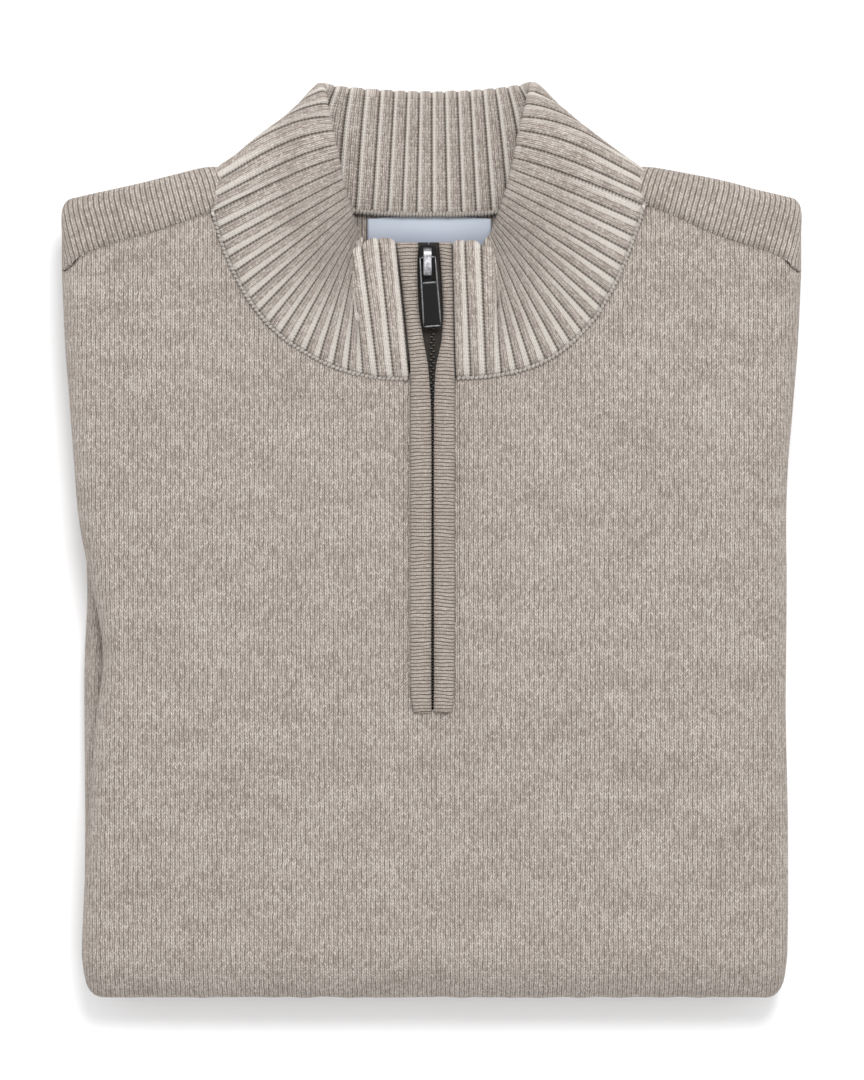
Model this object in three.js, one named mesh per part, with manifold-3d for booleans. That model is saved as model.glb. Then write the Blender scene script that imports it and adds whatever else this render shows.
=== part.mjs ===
// A quarter zip sweater in jersey knit with a ribbed collar, folded flat for a shelf.
// Millimetres. +Z is up, +Y points to the collar, and the sweater lies on z = 0.
// The origin is on the table under the middle of the outline.
import * as THREE from 'three';
import Module from 'manifold-3d';
import { mergeVertices } from 'three/addons/utils/BufferGeometryUtils.js';

const wasm = await Module();
wasm.setup();

// Cloth
const WALL = 2.5;             // jersey with its nap
const RIB_WALL = 3.4;         // two layers of ribbed collar
const RIB_RISE = 0.75;        // how far a rib stands out of the collar
const SEAM = 0.3;             // gap left where two pieces are sewn together

// The folded stack
const TOP = 45;               // height of the front panel above the table
const CROWN = 1.5;            // how much lower the panel is at its sides
const STACK = 21;             // thickness of each of the two halves, seen at their sides
const ROLL = 8;               // how far a side rolls out past the flat cloth
const TAIL = 12;              // how far the cloth runs on inwards below the roll
const FOLD_RADIUS = TOP / 2;
const FOLD_LINE = -185.2;     // where the flat cloth starts to turn round the bottom fold
const HEM_SEAM = 58;          // the hem band is sewn on here, on the underside
const HEM_END = 118;
const HALF_WIDTH = 160;       // of the folded sweater, for the crown

// Half widths of the upper and the lower half of the stack, from the bottom fold up
const UPPER_SIDES = [
  { y: -208, left: 157, right: 159.8 },
  { y: -185, left: 158, right: 160.8 },
  { y: -130, left: 155.2, right: 161 },
  { y: -80, left: 151.5, right: 160 },
  { y: -57, left: 148.5, right: 160.1 },
  { y: -40, left: 149.6, right: 160.3 },
  { y: -14, left: 155, right: 160.4 },
  { y: 9, left: 159.3, right: 160.2 },
  { y: 33, left: 161.4, right: 161 },
  { y: 63, left: 163.6, right: 163.5 },
  { y: 90, left: 165.7, right: 165.6 },
  { y: 121, left: 167, right: 167 },
];
const LOWER_SIDES = [
  { y: -208, left: 157, right: 159.8 },
  { y: -185, left: 158, right: 160.8 },
  { y: -130, left: 157.6, right: 160.4 },
  { y: -60, left: 158, right: 159.4 },
  { y: -22, left: 156.7, right: 159.6 },
  { y: 27, left: 159, right: 161 },
  { y: 60, left: 160, right: 164.3 },
  { y: 121, left: 160, right: 163.5 },
];

// Steps across and along a panel
const FLAT_COLUMNS = 8;       // on each side of the middle
const ROLL_STEPS = 6;
const TAIL_STEPS = 2;
const UNDER_ROWS = 3;
const FOLD_ROWS = 8;
const TOP_ROWS = 8;
const TOP_LIMIT = 152;        // the front panel is cut to its neck and shoulders from here

// The slit that the zip is set into
const SLIT = { left: -10, right: 10.7, end: -78.6 };

// Shoulders: the seam on the front panel, and where the back panel that comes over
// from behind turns round the top edge of the stack
const LEFT_SHOULDER = [
  { seamX: -159, seamY: 127, edgeX: -167, edgeY: 121 },
  { seamX: -157.5, seamY: 127.9, edgeX: -167, edgeY: 135 },
  { seamX: -153, seamY: 130.6, edgeX: -166.5, edgeY: 147 },
  { seamX: -143, seamY: 134, edgeX: -159, edgeY: 155 },
  { seamX: -133, seamY: 136.5, edgeX: -147, edgeY: 157.5 },
  { seamX: -121, seamY: 140, edgeX: -132, edgeY: 160.8 },
  { seamX: -111, seamY: 143.5, edgeX: -116, edgeY: 164.8 },
  { seamX: -101.8, seamY: 147, edgeX: -102.2, edgeY: 168 },
];
const RIGHT_SHOULDER = [
  { seamX: 99.4, seamY: 150, edgeX: 99.8, edgeY: 168 },
  { seamX: 110, seamY: 145.6, edgeX: 115, edgeY: 165.4 },
  { seamX: 121, seamY: 140.5, edgeX: 132, edgeY: 162 },
  { seamX: 133, seamY: 135.6, edgeX: 147, edgeY: 158 },
  { seamX: 143, seamY: 132.5, edgeX: 159, edgeY: 155.3 },
  { seamX: 153, seamY: 129.6, edgeX: 166.5, edgeY: 147.5 },
  { seamX: 157.5, seamY: 127.1, edgeX: 167, edgeY: 135 },
  { seamX: 159, seamY: 126.3, edgeX: 167, edgeY: 120.5 },
];
// Neck seam on the front panel, with the zip between its left and its right half
const LEFT_NECK = [
  { x: -98, y: 147 }, { x: -92.9, y: 130 }, { x: -83, y: 110 }, { x: -70, y: 94 },
  { x: -54, y: 83 }, { x: -41, y: 77 }, { x: -25.5, y: 73.4 }, { x: -10, y: 72.5 },
];
const RIGHT_NECK = [
  { x: 10.7, y: 73 }, { x: 26, y: 73.9 }, { x: 43.2, y: 77.5 }, { x: 57.6, y: 84.7 },
  { x: 71.9, y: 98.3 }, { x: 80, y: 111 }, { x: 86.3, y: 124.2 }, { x: 92.7, y: 141.4 },
  { x: 95.3, y: 150 },
];
const SHOULDER_STEPS = { flat: 2, roll: 6, tail: 1, perRow: 2 };
const SHOULDER_TAIL = 8;
const BACK_PANEL = { halfWidth: 144, from: 99.5, to: 150, under: 24.3, thick: 2, neckRise: 4 };
const BACK_NECK = { middle: 147, side: 160, halfWidth: 94 };

// Collar: ribs are counted from the right side of the zip round the back to the left side
const RIBS = 64;
const STEPS_PER_RIB = 3;
const FRONT_RIBS = 18;        // ribs sewn to the front panel on each side
const COLLAR_GAP = 0.5;       // from the neck seam to the middle of the wall
const COLLAR_HEIGHT = 44.6;   // of the middle of the collar's wall at the front seam
const COLLAR_BACK_BASE = [
  { rib: 18, x: 94.9, y: 150.2, z: 44.2 }, { rib: 19.4, x: 96.2, y: 159, z: 42.4 },
  { rib: 20.4, x: 95.8, y: 165.2, z: 39 }, { rib: 21.4, x: 92, y: 164, z: 35.4 },
  { rib: 22.6, x: 84, y: 158.5, z: 33.4 }, { rib: 26, x: 54, y: 151.8, z: 32.6 },
  { rib: 32, x: 0, y: 147.5, z: 32.4 }, { rib: 38, x: -54, y: 151.8, z: 32.6 },
  { rib: 41.4, x: -84, y: 158.5, z: 33.4 }, { rib: 42.6, x: -93, y: 164, z: 35.4 },
  { rib: 43.6, x: -98, y: 165.2, z: 39 }, { rib: 44.6, x: -98.6, y: 157, z: 42.4 },
  { rib: 46, x: -97.5, y: 147.2, z: 44.2 },
];
const COLLAR_TOP = [
  { rib: 0, x: 11.4, y: 133, z: 47 }, { rib: 2.3, x: 25, y: 131.5, z: 48.5 },
  { rib: 3.4, x: 24.6, y: 135, z: 46 }, { rib: 6, x: 28, y: 142, z: 47 },
  { rib: 12, x: 34.5, y: 163, z: 48 }, { rib: 18, x: 38.6, y: 187, z: 47 },
  { rib: 21.5, x: 42, y: 202, z: 44 }, { rib: 23, x: 43.5, y: 206, z: 39.5 },
  { rib: 25, x: 36, y: 204.5, z: 36.5 }, { rib: 28.5, x: 18, y: 201, z: 36 },
  { rib: 32, x: 0, y: 200, z: 36 }, { rib: 35.5, x: -18, y: 200.3, z: 36 },
  { rib: 39, x: -36, y: 203, z: 36.5 }, { rib: 41, x: -47.5, y: 205.2, z: 39.5 },
  { rib: 42.5, x: -46.5, y: 202, z: 44 }, { rib: 46, x: -43.2, y: 189, z: 47 },
  { rib: 52, x: -39, y: 165, z: 48 }, { rib: 58, x: -34.5, y: 146, z: 47 },
  { rib: 60.6, x: -32, y: 136.5, z: 46 }, { rib: 61.7, x: -33.4, y: 132.5, z: 48.5 },
  { rib: 64, x: -18.6, y: 133.2, z: 47 },
];
// Up the collar, from its seam to its folded top edge
const COLLAR_ROWS = [
  { up: 0, thick: 0.85 }, { up: 0.28, thick: 1 }, { up: 0.58, thick: 1 },
  { up: 0.83, thick: 1 }, { up: 0.95, thick: 0.9 }, { up: 1, thick: 0.45 },
];
const SIDE_FOLDS = [21.5, 42.5];
const SIDE_BULGE = 7.5;       // how far the folded side stands out halfway up
const FRONT_LIFT = 2.2;       // how much the front halves puff up halfway
const BACK_SAG = 1;

// Zip: edges of its two plackets and the gap between them, from the bottom up
const ZIP_ROWS = [
  { y: -78, outerLeft: -8.2, innerLeft: 0.1, innerRight: 0.8, outerRight: 9.3 },
  { y: -64, outerLeft: -9.6, innerLeft: -0.1, innerRight: 1, outerRight: 10.3 },
  { y: 54, outerLeft: -9.6, innerLeft: -0.1, innerRight: 1, outerRight: 10.4 },
  { y: 77, outerLeft: -9.7, innerLeft: -1.4, innerRight: 1.8, outerRight: 10.4 },
  { y: 90, outerLeft: -11, innerLeft: -3.6, innerRight: 4.4, outerRight: 10.3 },
  { y: 103, outerLeft: -12.4, innerLeft: -5.6, innerRight: 5, outerRight: 10.3 },
  { y: 121, outerLeft: -14.4, innerLeft: -6.3, innerRight: 4.2, outerRight: 10 },
  { y: 134, outerLeft: -16.4, innerLeft: -5.8, innerRight: 3.2, outerRight: 9.2 },
];
const TAPE = { under: 42.5, thick: 0.8, half: 9.2, end: -76.5 };
const PLACKET = { under: TAPE.under + TAPE.thick + SEAM, edge: 1.6, rise: 5 };
const SLIDER = { x: -1.6, top: 133, length: 18, width: 8, under: 43.6, thick: 4 };
const BRIDGE = { x: -1.8, width: 3.8, low: 118.6, high: 131.6, rise: 4.4, bar: 1.3 };
const TAB = {
  panel: 19.6, width: 8.2, thick: 1.4, under: 48.9, tilt: 4,
  window: 11.4, bar: 0.7, play: 1.1, corner: 1, pin: 0.6,
};
const HINGE = { y: 127, z: TAB.under + TAB.thick / 2 };

// Label sewn inside the back of the neck
const LABEL = { width: 56, low: 126, high: 145.2, arch: 1.4, under: 30.7, thick: 0.8 };

// Hidden layers between the panels, as levels above the lowest one. The slot keeps clear of
// the two panels' tails, and a groove at a level's edge shows where two layers meet.
const CORE = {
  gap: 0.4, foldGap: 0.8, slotInset: 13, bulge: 4, groove: 1.3,
  lowerEnd: 116, slotEnd: 98.5, upperEnd: 112, upperRise: 30, cornerDrop: 16,
};
const CORE_LEVELS = [
  { up: 0, part: 'lower' }, { up: 3, part: 'lower' }, { up: 5.4, part: 'lower', groove: true },
  { up: 7.8, part: 'lower' }, { up: 10.2, part: 'lower' }, { up: 12.6, part: 'lower', groove: true },
  { up: 15.1, part: 'lower' }, { up: 15.2, part: 'slot' }, { up: 24, part: 'slot' },
  { up: 26.8, part: 'upper', groove: true }, { up: 29.4, part: 'upper' },
  { up: 32, part: 'upper', groove: true }, { up: 34.6, part: 'upper' }, { up: 39.2, part: 'upper' },
];

const mix = (a, b, t) => a + (b - a) * t;
const smooth = THREE.MathUtils.smoothstep;
const clamp = THREE.MathUtils.clamp;

// Value of one column of a table at a place between its rows, on straight lines
function readLine(table, key, column, at) {
  if (at <= table[0][key]) return table[0][column];
  const i = table.findIndex((row) => row[key] >= at);
  if (i < 0) return table[table.length - 1][column];
  const low = table[i - 1];
  const high = table[i];
  return mix(low[column], high[column], (at - low[key]) / (high[key] - low[key]));
}

// The same on a smooth curve through the rows
function readCurve(table, key, column, at) {
  const last = table.length - 1;
  if (at <= table[0][key]) return table[0][column];
  if (at >= table[last][key]) return table[last][column];
  const i = table.findIndex((row) => row[key] >= at);
  const slope = (k) => {
    const a = table[Math.max(k - 1, 0)];
    const b = table[Math.min(k + 1, last)];
    return (b[column] - a[column]) / (b[key] - a[key]);
  };
  const low = table[i - 1];
  const high = table[i];
  const span = high[key] - low[key];
  const t = (at - low[key]) / span;
  const t2 = t * t;
  const t3 = t2 * t;
  return (2 * t3 - 3 * t2 + 1) * low[column] + (t3 - 2 * t2 + t) * span * slope(i - 1)
    + (3 * t2 - 2 * t3) * high[column] + (t3 - t2) * span * slope(i);
}

// A block of cloth: place(u, v, w) gives each point, w = 0 inside to w = 1 outside
function clothBlock(across, along, through, place) {
  const box = new THREE.BoxGeometry(1, 1, 1, across, along, through);
  box.deleteAttribute('normal');
  box.deleteAttribute('uv');
  const geometry = mergeVertices(box);
  const points = geometry.attributes.position;
  for (let i = 0; i < points.count; i += 1) {
    const p = place(points.getX(i) + 0.5, points.getY(i) + 0.5, points.getZ(i) + 0.5);
    points.setXYZ(i, p.x, p.y, p.z);
  }
  return geometry;
}

function solidOf(geometry) {
  const plain = geometry.clone();
  plain.deleteAttribute('normal');
  plain.deleteAttribute('uv');
  const merged = mergeVertices(plain, 1e-4);
  return new wasm.Manifold(new wasm.Mesh({
    numProp: 3,
    vertProperties: new Float32Array(merged.attributes.position.array),
    triVerts: new Uint32Array(merged.index.array),
  }));
}

function geometryOf(solid) {
  const mesh = solid.getMesh();
  const geometry = new THREE.BufferGeometry();
  geometry.setAttribute('position', new THREE.BufferAttribute(mesh.vertProperties, 3));
  geometry.setIndex(new THREE.BufferAttribute(mesh.triVerts, 1));
  return geometry;
}

const garment = new THREE.Group();

function addPiece(name, geometry, color, roughness, metalness = 0) {
  const material = new THREE.MeshStandardMaterial({ color, roughness, metalness });
  const piece = new THREE.Mesh(geometry, material);
  piece.name = name;
  garment.add(piece);
}

const JERSEY = 0xb4a8a0;
const RIB = 0xbdb2aa;
const SATIN = 0xbac2cf;
const BLACK_METAL = 0x17181a;
const DARK_TAPE = 0x4a423b;

const crown = (x) => CROWN * (x / HALF_WIDTH) ** 2;

// Across a wall: flat in the middle, rolled round at each side, with a tail running back in.
// Gives the flat part's share, how far out of it the point is and how deep below the outside.
function section(column, thickness) {
  const fromMiddle = Math.abs(column);
  if (fromMiddle <= FLAT_COLUMNS) return { flat: fromMiddle / FLAT_COLUMNS, out: 0, depth: thickness };
  const turn = Math.min((fromMiddle - FLAT_COLUMNS) / ROLL_STEPS, 1) * Math.PI;
  const tail = Math.max(fromMiddle - FLAT_COLUMNS - ROLL_STEPS, 0) / TAIL_STEPS;
  const out = (ROLL - thickness) * Math.sin(turn) - tail * TAIL;
  return { flat: 1, out, depth: STACK / 2 - (STACK / 2 - thickness) * Math.cos(turn) };
}

const COLUMNS = FLAT_COLUMNS + ROLL_STEPS + TAIL_STEPS;

function acrossWall(u, w, sides, y) {
  const column = (u * 2 - 1) * COLUMNS;
  const side = Math.sign(column);
  const part = section(column, WALL * (1 - w));
  const half = readCurve(sides, 'y', side < 0 ? 'left' : 'right', y) - ROLL;
  const flatX = side * part.flat * half;
  return { x: flatX + side * part.out, depth: part.depth, flatX };
}

// Front panel: on top from the neck down, round the bottom fold and back along the table
function frontPoint(u, v, w) {
  const row = v * (UNDER_ROWS + FOLD_ROWS + TOP_ROWS);
  if (row <= UNDER_ROWS) {
    const y = mix(HEM_SEAM, FOLD_LINE, row / UNDER_ROWS);
    const { x, depth } = acrossWall(u, w, LOWER_SIDES, y);
    return { x, y, z: depth };
  }
  if (row < UNDER_ROWS + FOLD_ROWS) {
    const turn = (row - UNDER_ROWS) / FOLD_ROWS * Math.PI;
    const edgeY = FOLD_LINE - FOLD_RADIUS * Math.sin(turn);
    const { x, depth, flatX } = acrossWall(u, w, UPPER_SIDES, edgeY);
    const radius = FOLD_RADIUS - depth;
    const z = FOLD_RADIUS - radius * Math.cos(turn) - crown(flatX) * smooth(turn, Math.PI / 2, Math.PI);
    return { x, y: FOLD_LINE - radius * Math.sin(turn), z };
  }
  const up = (row - UNDER_ROWS - FOLD_ROWS) / TOP_ROWS;
  const y = mix(FOLD_LINE, TOP_LIMIT, up);
  const { x, depth, flatX } = acrossWall(u, w, UPPER_SIDES, y);
  return { x, y, z: TOP - depth - crown(flatX) };
}

// What the front panel is cut back to: the shoulders, the neck and the slit for the zip
function frontOffcut() {
  const shape = new THREE.Shape();
  const beyond = TOP_LIMIT + ROLL;
  const left = LEFT_SHOULDER[0];
  const right = RIGHT_SHOULDER[RIGHT_SHOULDER.length - 1];
  shape.moveTo(left.edgeX - ROLL, beyond);
  shape.lineTo(left.edgeX - ROLL, left.edgeY);
  shape.lineTo(left.edgeX, left.edgeY);
  LEFT_SHOULDER.forEach(({ seamX, seamY }) => shape.lineTo(seamX, seamY));
  LEFT_NECK.forEach(({ x, y }) => shape.lineTo(x, y));
  shape.lineTo(SLIT.left, SLIT.end);
  shape.lineTo(SLIT.right, SLIT.end);
  RIGHT_NECK.forEach(({ x, y }) => shape.lineTo(x, y));
  RIGHT_SHOULDER.forEach(({ seamX, seamY }) => shape.lineTo(seamX, seamY));
  shape.lineTo(right.edgeX, right.edgeY);
  shape.lineTo(right.edgeX + ROLL, right.edgeY);
  shape.lineTo(right.edgeX + ROLL, beyond);
  const offcut = new THREE.ExtrudeGeometry(shape, { depth: TOP, bevelEnabled: false });
  offcut.translate(0, 0, STACK + SEAM);
  return solidOf(offcut);
}

function frontPanel() {
  const rows = UNDER_ROWS + FOLD_ROWS + TOP_ROWS;
  return geometryOf(solidOf(clothBlock(COLUMNS * 2, rows, 1, frontPoint)).subtract(frontOffcut()));
}

addPiece('front', frontPanel(), JERSEY, 0.92);

// Hem band, under the stack
addPiece('hem', clothBlock(COLUMNS * 2, 2, 1, (u, v, w) => {
  const y = mix(HEM_END, HEM_SEAM + SEAM, v);
  const { x, depth } = acrossWall(u, w, LOWER_SIDES, y);
  return { x, y, z: depth };
}), RIB, 0.92);

// Back panel. It comes forward over each shoulder to its seam, so a strip of it shows there,
// rolled over the top edge of the stack, and it runs on under the neck opening.
function shoulderStrip(rows) {
  const { flat, roll, tail, perRow } = SHOULDER_STEPS;
  const steps = flat + roll + tail;
  const last = rows.length - 1;
  const indexed = rows.map((row, index) => ({ ...row, index }));
  return clothBlock(last * perRow, steps, 1, (u, v, w) => {
    const at = (column) => readLine(indexed, 'index', column, u * last);
    const seam = new THREE.Vector2(at('seamX'), at('seamY') + SEAM);
    const outwards = new THREE.Vector2(at('edgeX'), at('edgeY') + SEAM).sub(seam);
    const flatLength = Math.max(outwards.length() - ROLL, 0);
    outwards.normalize();
    const thickness = WALL * (1 - w);
    const step = v * steps;
    const turn = clamp((step - flat) / roll, 0, 1) * Math.PI;
    const back = Math.max(step - flat - roll, 0) * Math.min(SHOULDER_TAIL, flatLength);
    const out = flatLength * Math.min(step / flat, 1) + (ROLL - thickness) * Math.sin(turn) - back;
    const drop = STACK / 2 - (STACK / 2 - thickness) * Math.cos(turn);
    const x = seam.x + outwards.x * out;
    return { x, y: seam.y + outwards.y * out, z: TOP - drop - crown(seam.x) };
  });
}

const backNeck = (x) => mix(BACK_NECK.middle, BACK_NECK.side, (x / BACK_NECK.halfWidth) ** 2);

function backPoint(u, v, w) {
  const x = (u * 2 - 1) * BACK_PANEL.halfWidth;
  const end = Math.abs(x) < BACK_NECK.halfWidth ? Math.min(backNeck(x), 158) : BACK_PANEL.to;
  const y = mix(BACK_PANEL.from, end, v);
  const rise = smooth(y, 116, 130) * (1 - smooth(Math.abs(x), 84, 104));
  return { x, y, z: BACK_PANEL.under + BACK_PANEL.neckRise * rise + BACK_PANEL.thick * w };
}

function backPanel() {
  const sheet = solidOf(clothBlock(24, 5, 1, backPoint));
  const left = solidOf(shoulderStrip(LEFT_SHOULDER));
  const right = solidOf(shoulderStrip(RIGHT_SHOULDER));
  return geometryOf(sheet.add(left).add(right));
}

addPiece('back', backPanel(), JERSEY, 0.92);

// Sleeves and sides, folded in between the panels, as one solid with the layers' edges showing
function coreEnd(part, side) {
  if (part === 'lower') return CORE.lowerEnd;
  if (part === 'slot') return CORE.slotEnd;
  const fromMiddle = Math.abs(side);
  return CORE.upperEnd + CORE.upperRise * smooth(fromMiddle, 0.5, 0.72)
    - CORE.cornerDrop * smooth(fromMiddle, 0.88, 1);
}

function coreHalf(part, hand, y) {
  const upper = readCurve(UPPER_SIDES, 'y', hand, y) - ROLL;
  const lower = readCurve(LOWER_SIDES, 'y', hand, y) - ROLL;
  if (part === 'slot') return Math.min(upper, lower) - CORE.slotInset;
  return part === 'upper' ? upper : lower;
}

function corePoint(u, v, w) {
  const index = Math.round(w * (CORE_LEVELS.length - 1));
  const { up, part, groove } = CORE_LEVELS[index];
  const levels = CORE_LEVELS.filter((level) => level.part === part);
  const share = levels.indexOf(CORE_LEVELS[index]) / (levels.length - 1);
  const cut = groove ? CORE.groove : 0;
  const under = WALL + CORE.gap;
  const z = under + up;
  const fold = FOLD_RADIUS - under - CORE.foldGap;
  const startY = FOLD_LINE - Math.sqrt(Math.max(fold ** 2 - (z - FOLD_RADIUS) ** 2, 0));
  const side = u * 2 - 1;
  const y = mix(startY, coreEnd(part, side) - cut * 2, v);
  const open = smooth(y, FOLD_LINE, FOLD_LINE + 15) * (1 - smooth(y, 110, 118));
  const bulge = part === 'slot' ? 0 : CORE.bulge * Math.sin(Math.PI * share) * open - cut;
  const x = side * (coreHalf(part, side < 0 ? 'left' : 'right', y) + bulge - CORE.gap);
  return { x, y, z: index === CORE_LEVELS.length - 1 ? TOP - under - crown(x) : z };
}

addPiece('folded_layers', clothBlock(22, 12, CORE_LEVELS.length - 1, corePoint), JERSEY, 0.95);

// Collar: a double layer of rib, standing round the back of the neck and lying flat in front
function neckLine(corners) {
  const line = new THREE.CurvePath();
  const points = corners.map(({ x, y }) => new THREE.Vector3(x, y, COLLAR_HEIGHT));
  points.slice(1).forEach((point, i) => line.add(new THREE.LineCurve3(points[i], point)));
  return line;
}
const rightNeck = neckLine(RIGHT_NECK);
const leftNeck = neckLine(LEFT_NECK);

function collarBase(rib) {
  const fromZip = Math.min(rib, RIBS - rib);
  if (fromZip >= FRONT_RIBS) {
    const at = (column) => readCurve(COLLAR_BACK_BASE, 'rib', column, rib);
    return new THREE.Vector3(at('x'), at('y'), at('z'));
  }
  const share = fromZip / FRONT_RIBS;
  const right = rib < RIBS / 2;
  const line = right ? rightNeck : leftNeck;
  const place = right ? share : 1 - share;
  const tangent = line.getTangentAt(place);
  const inwards = new THREE.Vector3(-tangent.y, tangent.x, 0);
  return line.getPointAt(place).addScaledVector(inwards, COLLAR_GAP);
}

function collarMiddle(rib, up) {
  const at = (column) => readCurve(COLLAR_TOP, 'rib', column, rib);
  const top = new THREE.Vector3(at('x'), at('y'), at('z'));
  const middle = 4 * up * (1 - up);
  const fromBack = Math.abs(rib - RIBS / 2);
  const front = smooth(fromBack, RIBS / 2 - SIDE_FOLDS[0] - 3, RIBS / 2 - SIDE_FOLDS[0] + 3);
  const side = Math.sign(RIBS / 2 - rib);
  const fold = rib < RIBS / 2 ? SIDE_FOLDS[0] : SIDE_FOLDS[1];
  const bulge = SIDE_BULGE * Math.exp(-(((rib - fold) / 3.2) ** 2)) * middle;
  const point = collarBase(rib).lerp(top, up);
  point.x += side * 0.62 * bulge;
  point.y += 0.78 * bulge;
  point.z += mix(-BACK_SAG, FRONT_LIFT, front) * middle;
  return point;
}

function collarPoint(u, v, w) {
  const rib = u * RIBS;
  const row = COLLAR_ROWS[Math.round(v * (COLLAR_ROWS.length - 1))];
  const small = 0.02;
  const here = collarMiddle(rib, row.up);
  const alongRibs = collarMiddle(Math.min(rib + small, RIBS), row.up)
    .sub(collarMiddle(Math.max(rib - small, 0), row.up));
  const upCollar = collarMiddle(rib, Math.min(row.up + small, 1))
    .sub(collarMiddle(rib, Math.max(row.up - small, 0)));
  const outwards = alongRibs.cross(upCollar).normalize();
  const valley = Math.round(rib * STEPS_PER_RIB) % STEPS_PER_RIB === 0;
  const half = row.thick * (RIB_WALL / 2 + (valley ? 0 : RIB_RISE));
  return here.addScaledVector(outwards, (w * 2 - 1) * half);
}

addPiece('collar', clothBlock(RIBS * STEPS_PER_RIB, COLLAR_ROWS.length - 1, 1, collarPoint), RIB, 0.92);

// Zip
const zipAt = (column, y) => readCurve(ZIP_ROWS, 'y', column, y);
const ZIP_LOW = ZIP_ROWS[0].y;
const ZIP_HIGH = ZIP_ROWS[ZIP_ROWS.length - 1].y;

function placket(inner, outer) {
  return clothBlock(8, 16, 1, (u, v, w) => {
    const y = mix(ZIP_LOW, ZIP_HIGH, v);
    const [low, high] = [zipAt(inner, y), zipAt(outer, y)].sort((a, b) => a - b);
    const round = Math.sqrt(Math.max(1 - (u * 2 - 1) ** 2, 0));
    const height = PLACKET.edge + (PLACKET.rise - PLACKET.edge) * round;
    return { x: mix(low, high, u), y, z: PLACKET.under + w * height };
  });
}

addPiece('placket_left', placket('innerLeft', 'outerLeft'), JERSEY, 0.95);
addPiece('placket_right', placket('innerRight', 'outerRight'), JERSEY, 0.95);

function zipTape(side) {
  return clothBlock(1, 12, 1, (u, v, w) => {
    const y = mix(TAPE.end, ZIP_HIGH, v);
    const middle = (zipAt('innerLeft', y) + zipAt('innerRight', y)) / 2;
    const edge = clamp(middle + side * TAPE.half, zipAt('outerLeft', y), zipAt('outerRight', y));
    const [low, high] = [middle + side * SEAM / 2, edge].sort((a, b) => a - b);
    return { x: mix(low, high, u), y, z: TAPE.under + w * TAPE.thick };
  });
}

addPiece('zip_tape_left', zipTape(-1), DARK_TAPE, 0.85);
addPiece('zip_tape_right', zipTape(1), DARK_TAPE, 0.85);

// Slider: a waisted body with a bridge that the tab's pin lies under
function sliderSolid() {
  const half = SLIDER.width / 2;
  const outline = new THREE.Shape();
  outline.moveTo(-half * 0.7, 0);
  outline.lineTo(half * 0.7, 0);
  outline.quadraticCurveTo(half, -SLIDER.length * 0.12, half, -SLIDER.length * 0.3);
  outline.quadraticCurveTo(half, -SLIDER.length * 0.6, half * 0.5, -SLIDER.length);
  outline.lineTo(-half * 0.5, -SLIDER.length);
  outline.quadraticCurveTo(-half, -SLIDER.length * 0.6, -half, -SLIDER.length * 0.3);
  outline.quadraticCurveTo(-half, -SLIDER.length * 0.12, -half * 0.7, 0);
  const body = new THREE.ExtrudeGeometry(outline, {
    depth: SLIDER.thick, bevelEnabled: false, curveSegments: 5,
  });
  body.translate(SLIDER.x, SLIDER.top, SLIDER.under);
  return solidOf(body).add(bridgeSolid());
}

function bridgeSolid() {
  const floor = SLIDER.under + SLIDER.thick - SEAM;
  const { low, high, rise, bar } = BRIDGE;
  const top = SLIDER.under + SLIDER.thick + rise;
  const side = new THREE.Shape();
  side.moveTo(low, floor);
  side.lineTo(high, floor);
  side.quadraticCurveTo(high, top, high - 4, top);
  side.lineTo(low + 2, top);
  side.quadraticCurveTo(low, top, low, top - 2);
  side.lineTo(low, floor);
  const tunnel = new THREE.Path();
  tunnel.moveTo(low + bar, floor + SEAM + 0.5);
  tunnel.lineTo(low + bar, top - bar);
  tunnel.lineTo(high - 3.4, top - bar);
  tunnel.lineTo(high - 2.2, floor + SEAM + 0.5);
  side.holes.push(tunnel);
  const bridge = new THREE.ExtrudeGeometry(side, {
    depth: BRIDGE.width, bevelEnabled: false, curveSegments: 4,
  });
  bridge.rotateX(Math.PI / 2);
  bridge.rotateZ(Math.PI / 2);
  bridge.translate(BRIDGE.x - BRIDGE.width / 2, 0, 0);
  return solidOf(bridge);
}

addPiece('slider', geometryOf(sliderSolid()), BLACK_METAL, 0.35, 0.9);

// Pull tab: a frame whose window goes round the slider's bridge, with a panel below the window.
// The frame's top bar is a round pin that lies in the bridge's tunnel.
function tabSolid() {
  const { panel, width, thick, window, bar, play, corner, pin } = TAB;
  const gap = BRIDGE.width / 2 + play;
  const half = width / 2;
  const end = -window - panel;
  const plate = new THREE.Shape();
  plate.moveTo(-gap - bar, 0);
  plate.lineTo(-half, end + corner);
  plate.lineTo(-half + corner, end);
  plate.lineTo(half - corner, end);
  plate.lineTo(half, end + corner);
  plate.lineTo(gap + bar, 0);
  plate.lineTo(gap, 0);
  plate.lineTo(gap, -window);
  plate.lineTo(-gap, -window);
  plate.lineTo(-gap, 0);
  const flat = new THREE.ExtrudeGeometry(plate, { depth: thick, bevelEnabled: false });
  flat.translate(0, 0, -thick / 2);
  const rod = new THREE.CylinderGeometry(pin, pin, (gap + bar) * 2, 8);
  rod.rotateZ(Math.PI / 2);
  return solidOf(flat).add(solidOf(rod));
}

const tab = geometryOf(tabSolid());
tab.rotateZ(THREE.MathUtils.degToRad(TAB.tilt));
tab.translate(BRIDGE.x, HINGE.y, HINGE.z);
addPiece('pull_tab', tab, BLACK_METAL, 0.4, 0.6);

// Label, bare
addPiece('label', clothBlock(10, 2, 1, (u, v, w) => {
  const side = u * 2 - 1;
  const y = mix(LABEL.low, LABEL.high + LABEL.arch * (1 - side * side), v);
  return { x: side * LABEL.width / 2 - 1, y, z: LABEL.under + w * LABEL.thick };
}), SATIN, 0.45);

export default garment;
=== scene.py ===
# A quarter zip sweater in heathered taupe jersey with a ribbed stand collar, folded for a shelf
# and lying face up. Shapes are worked out in millimetres and placed in metres.
import functools
import math
from collections import namedtuple

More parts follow.
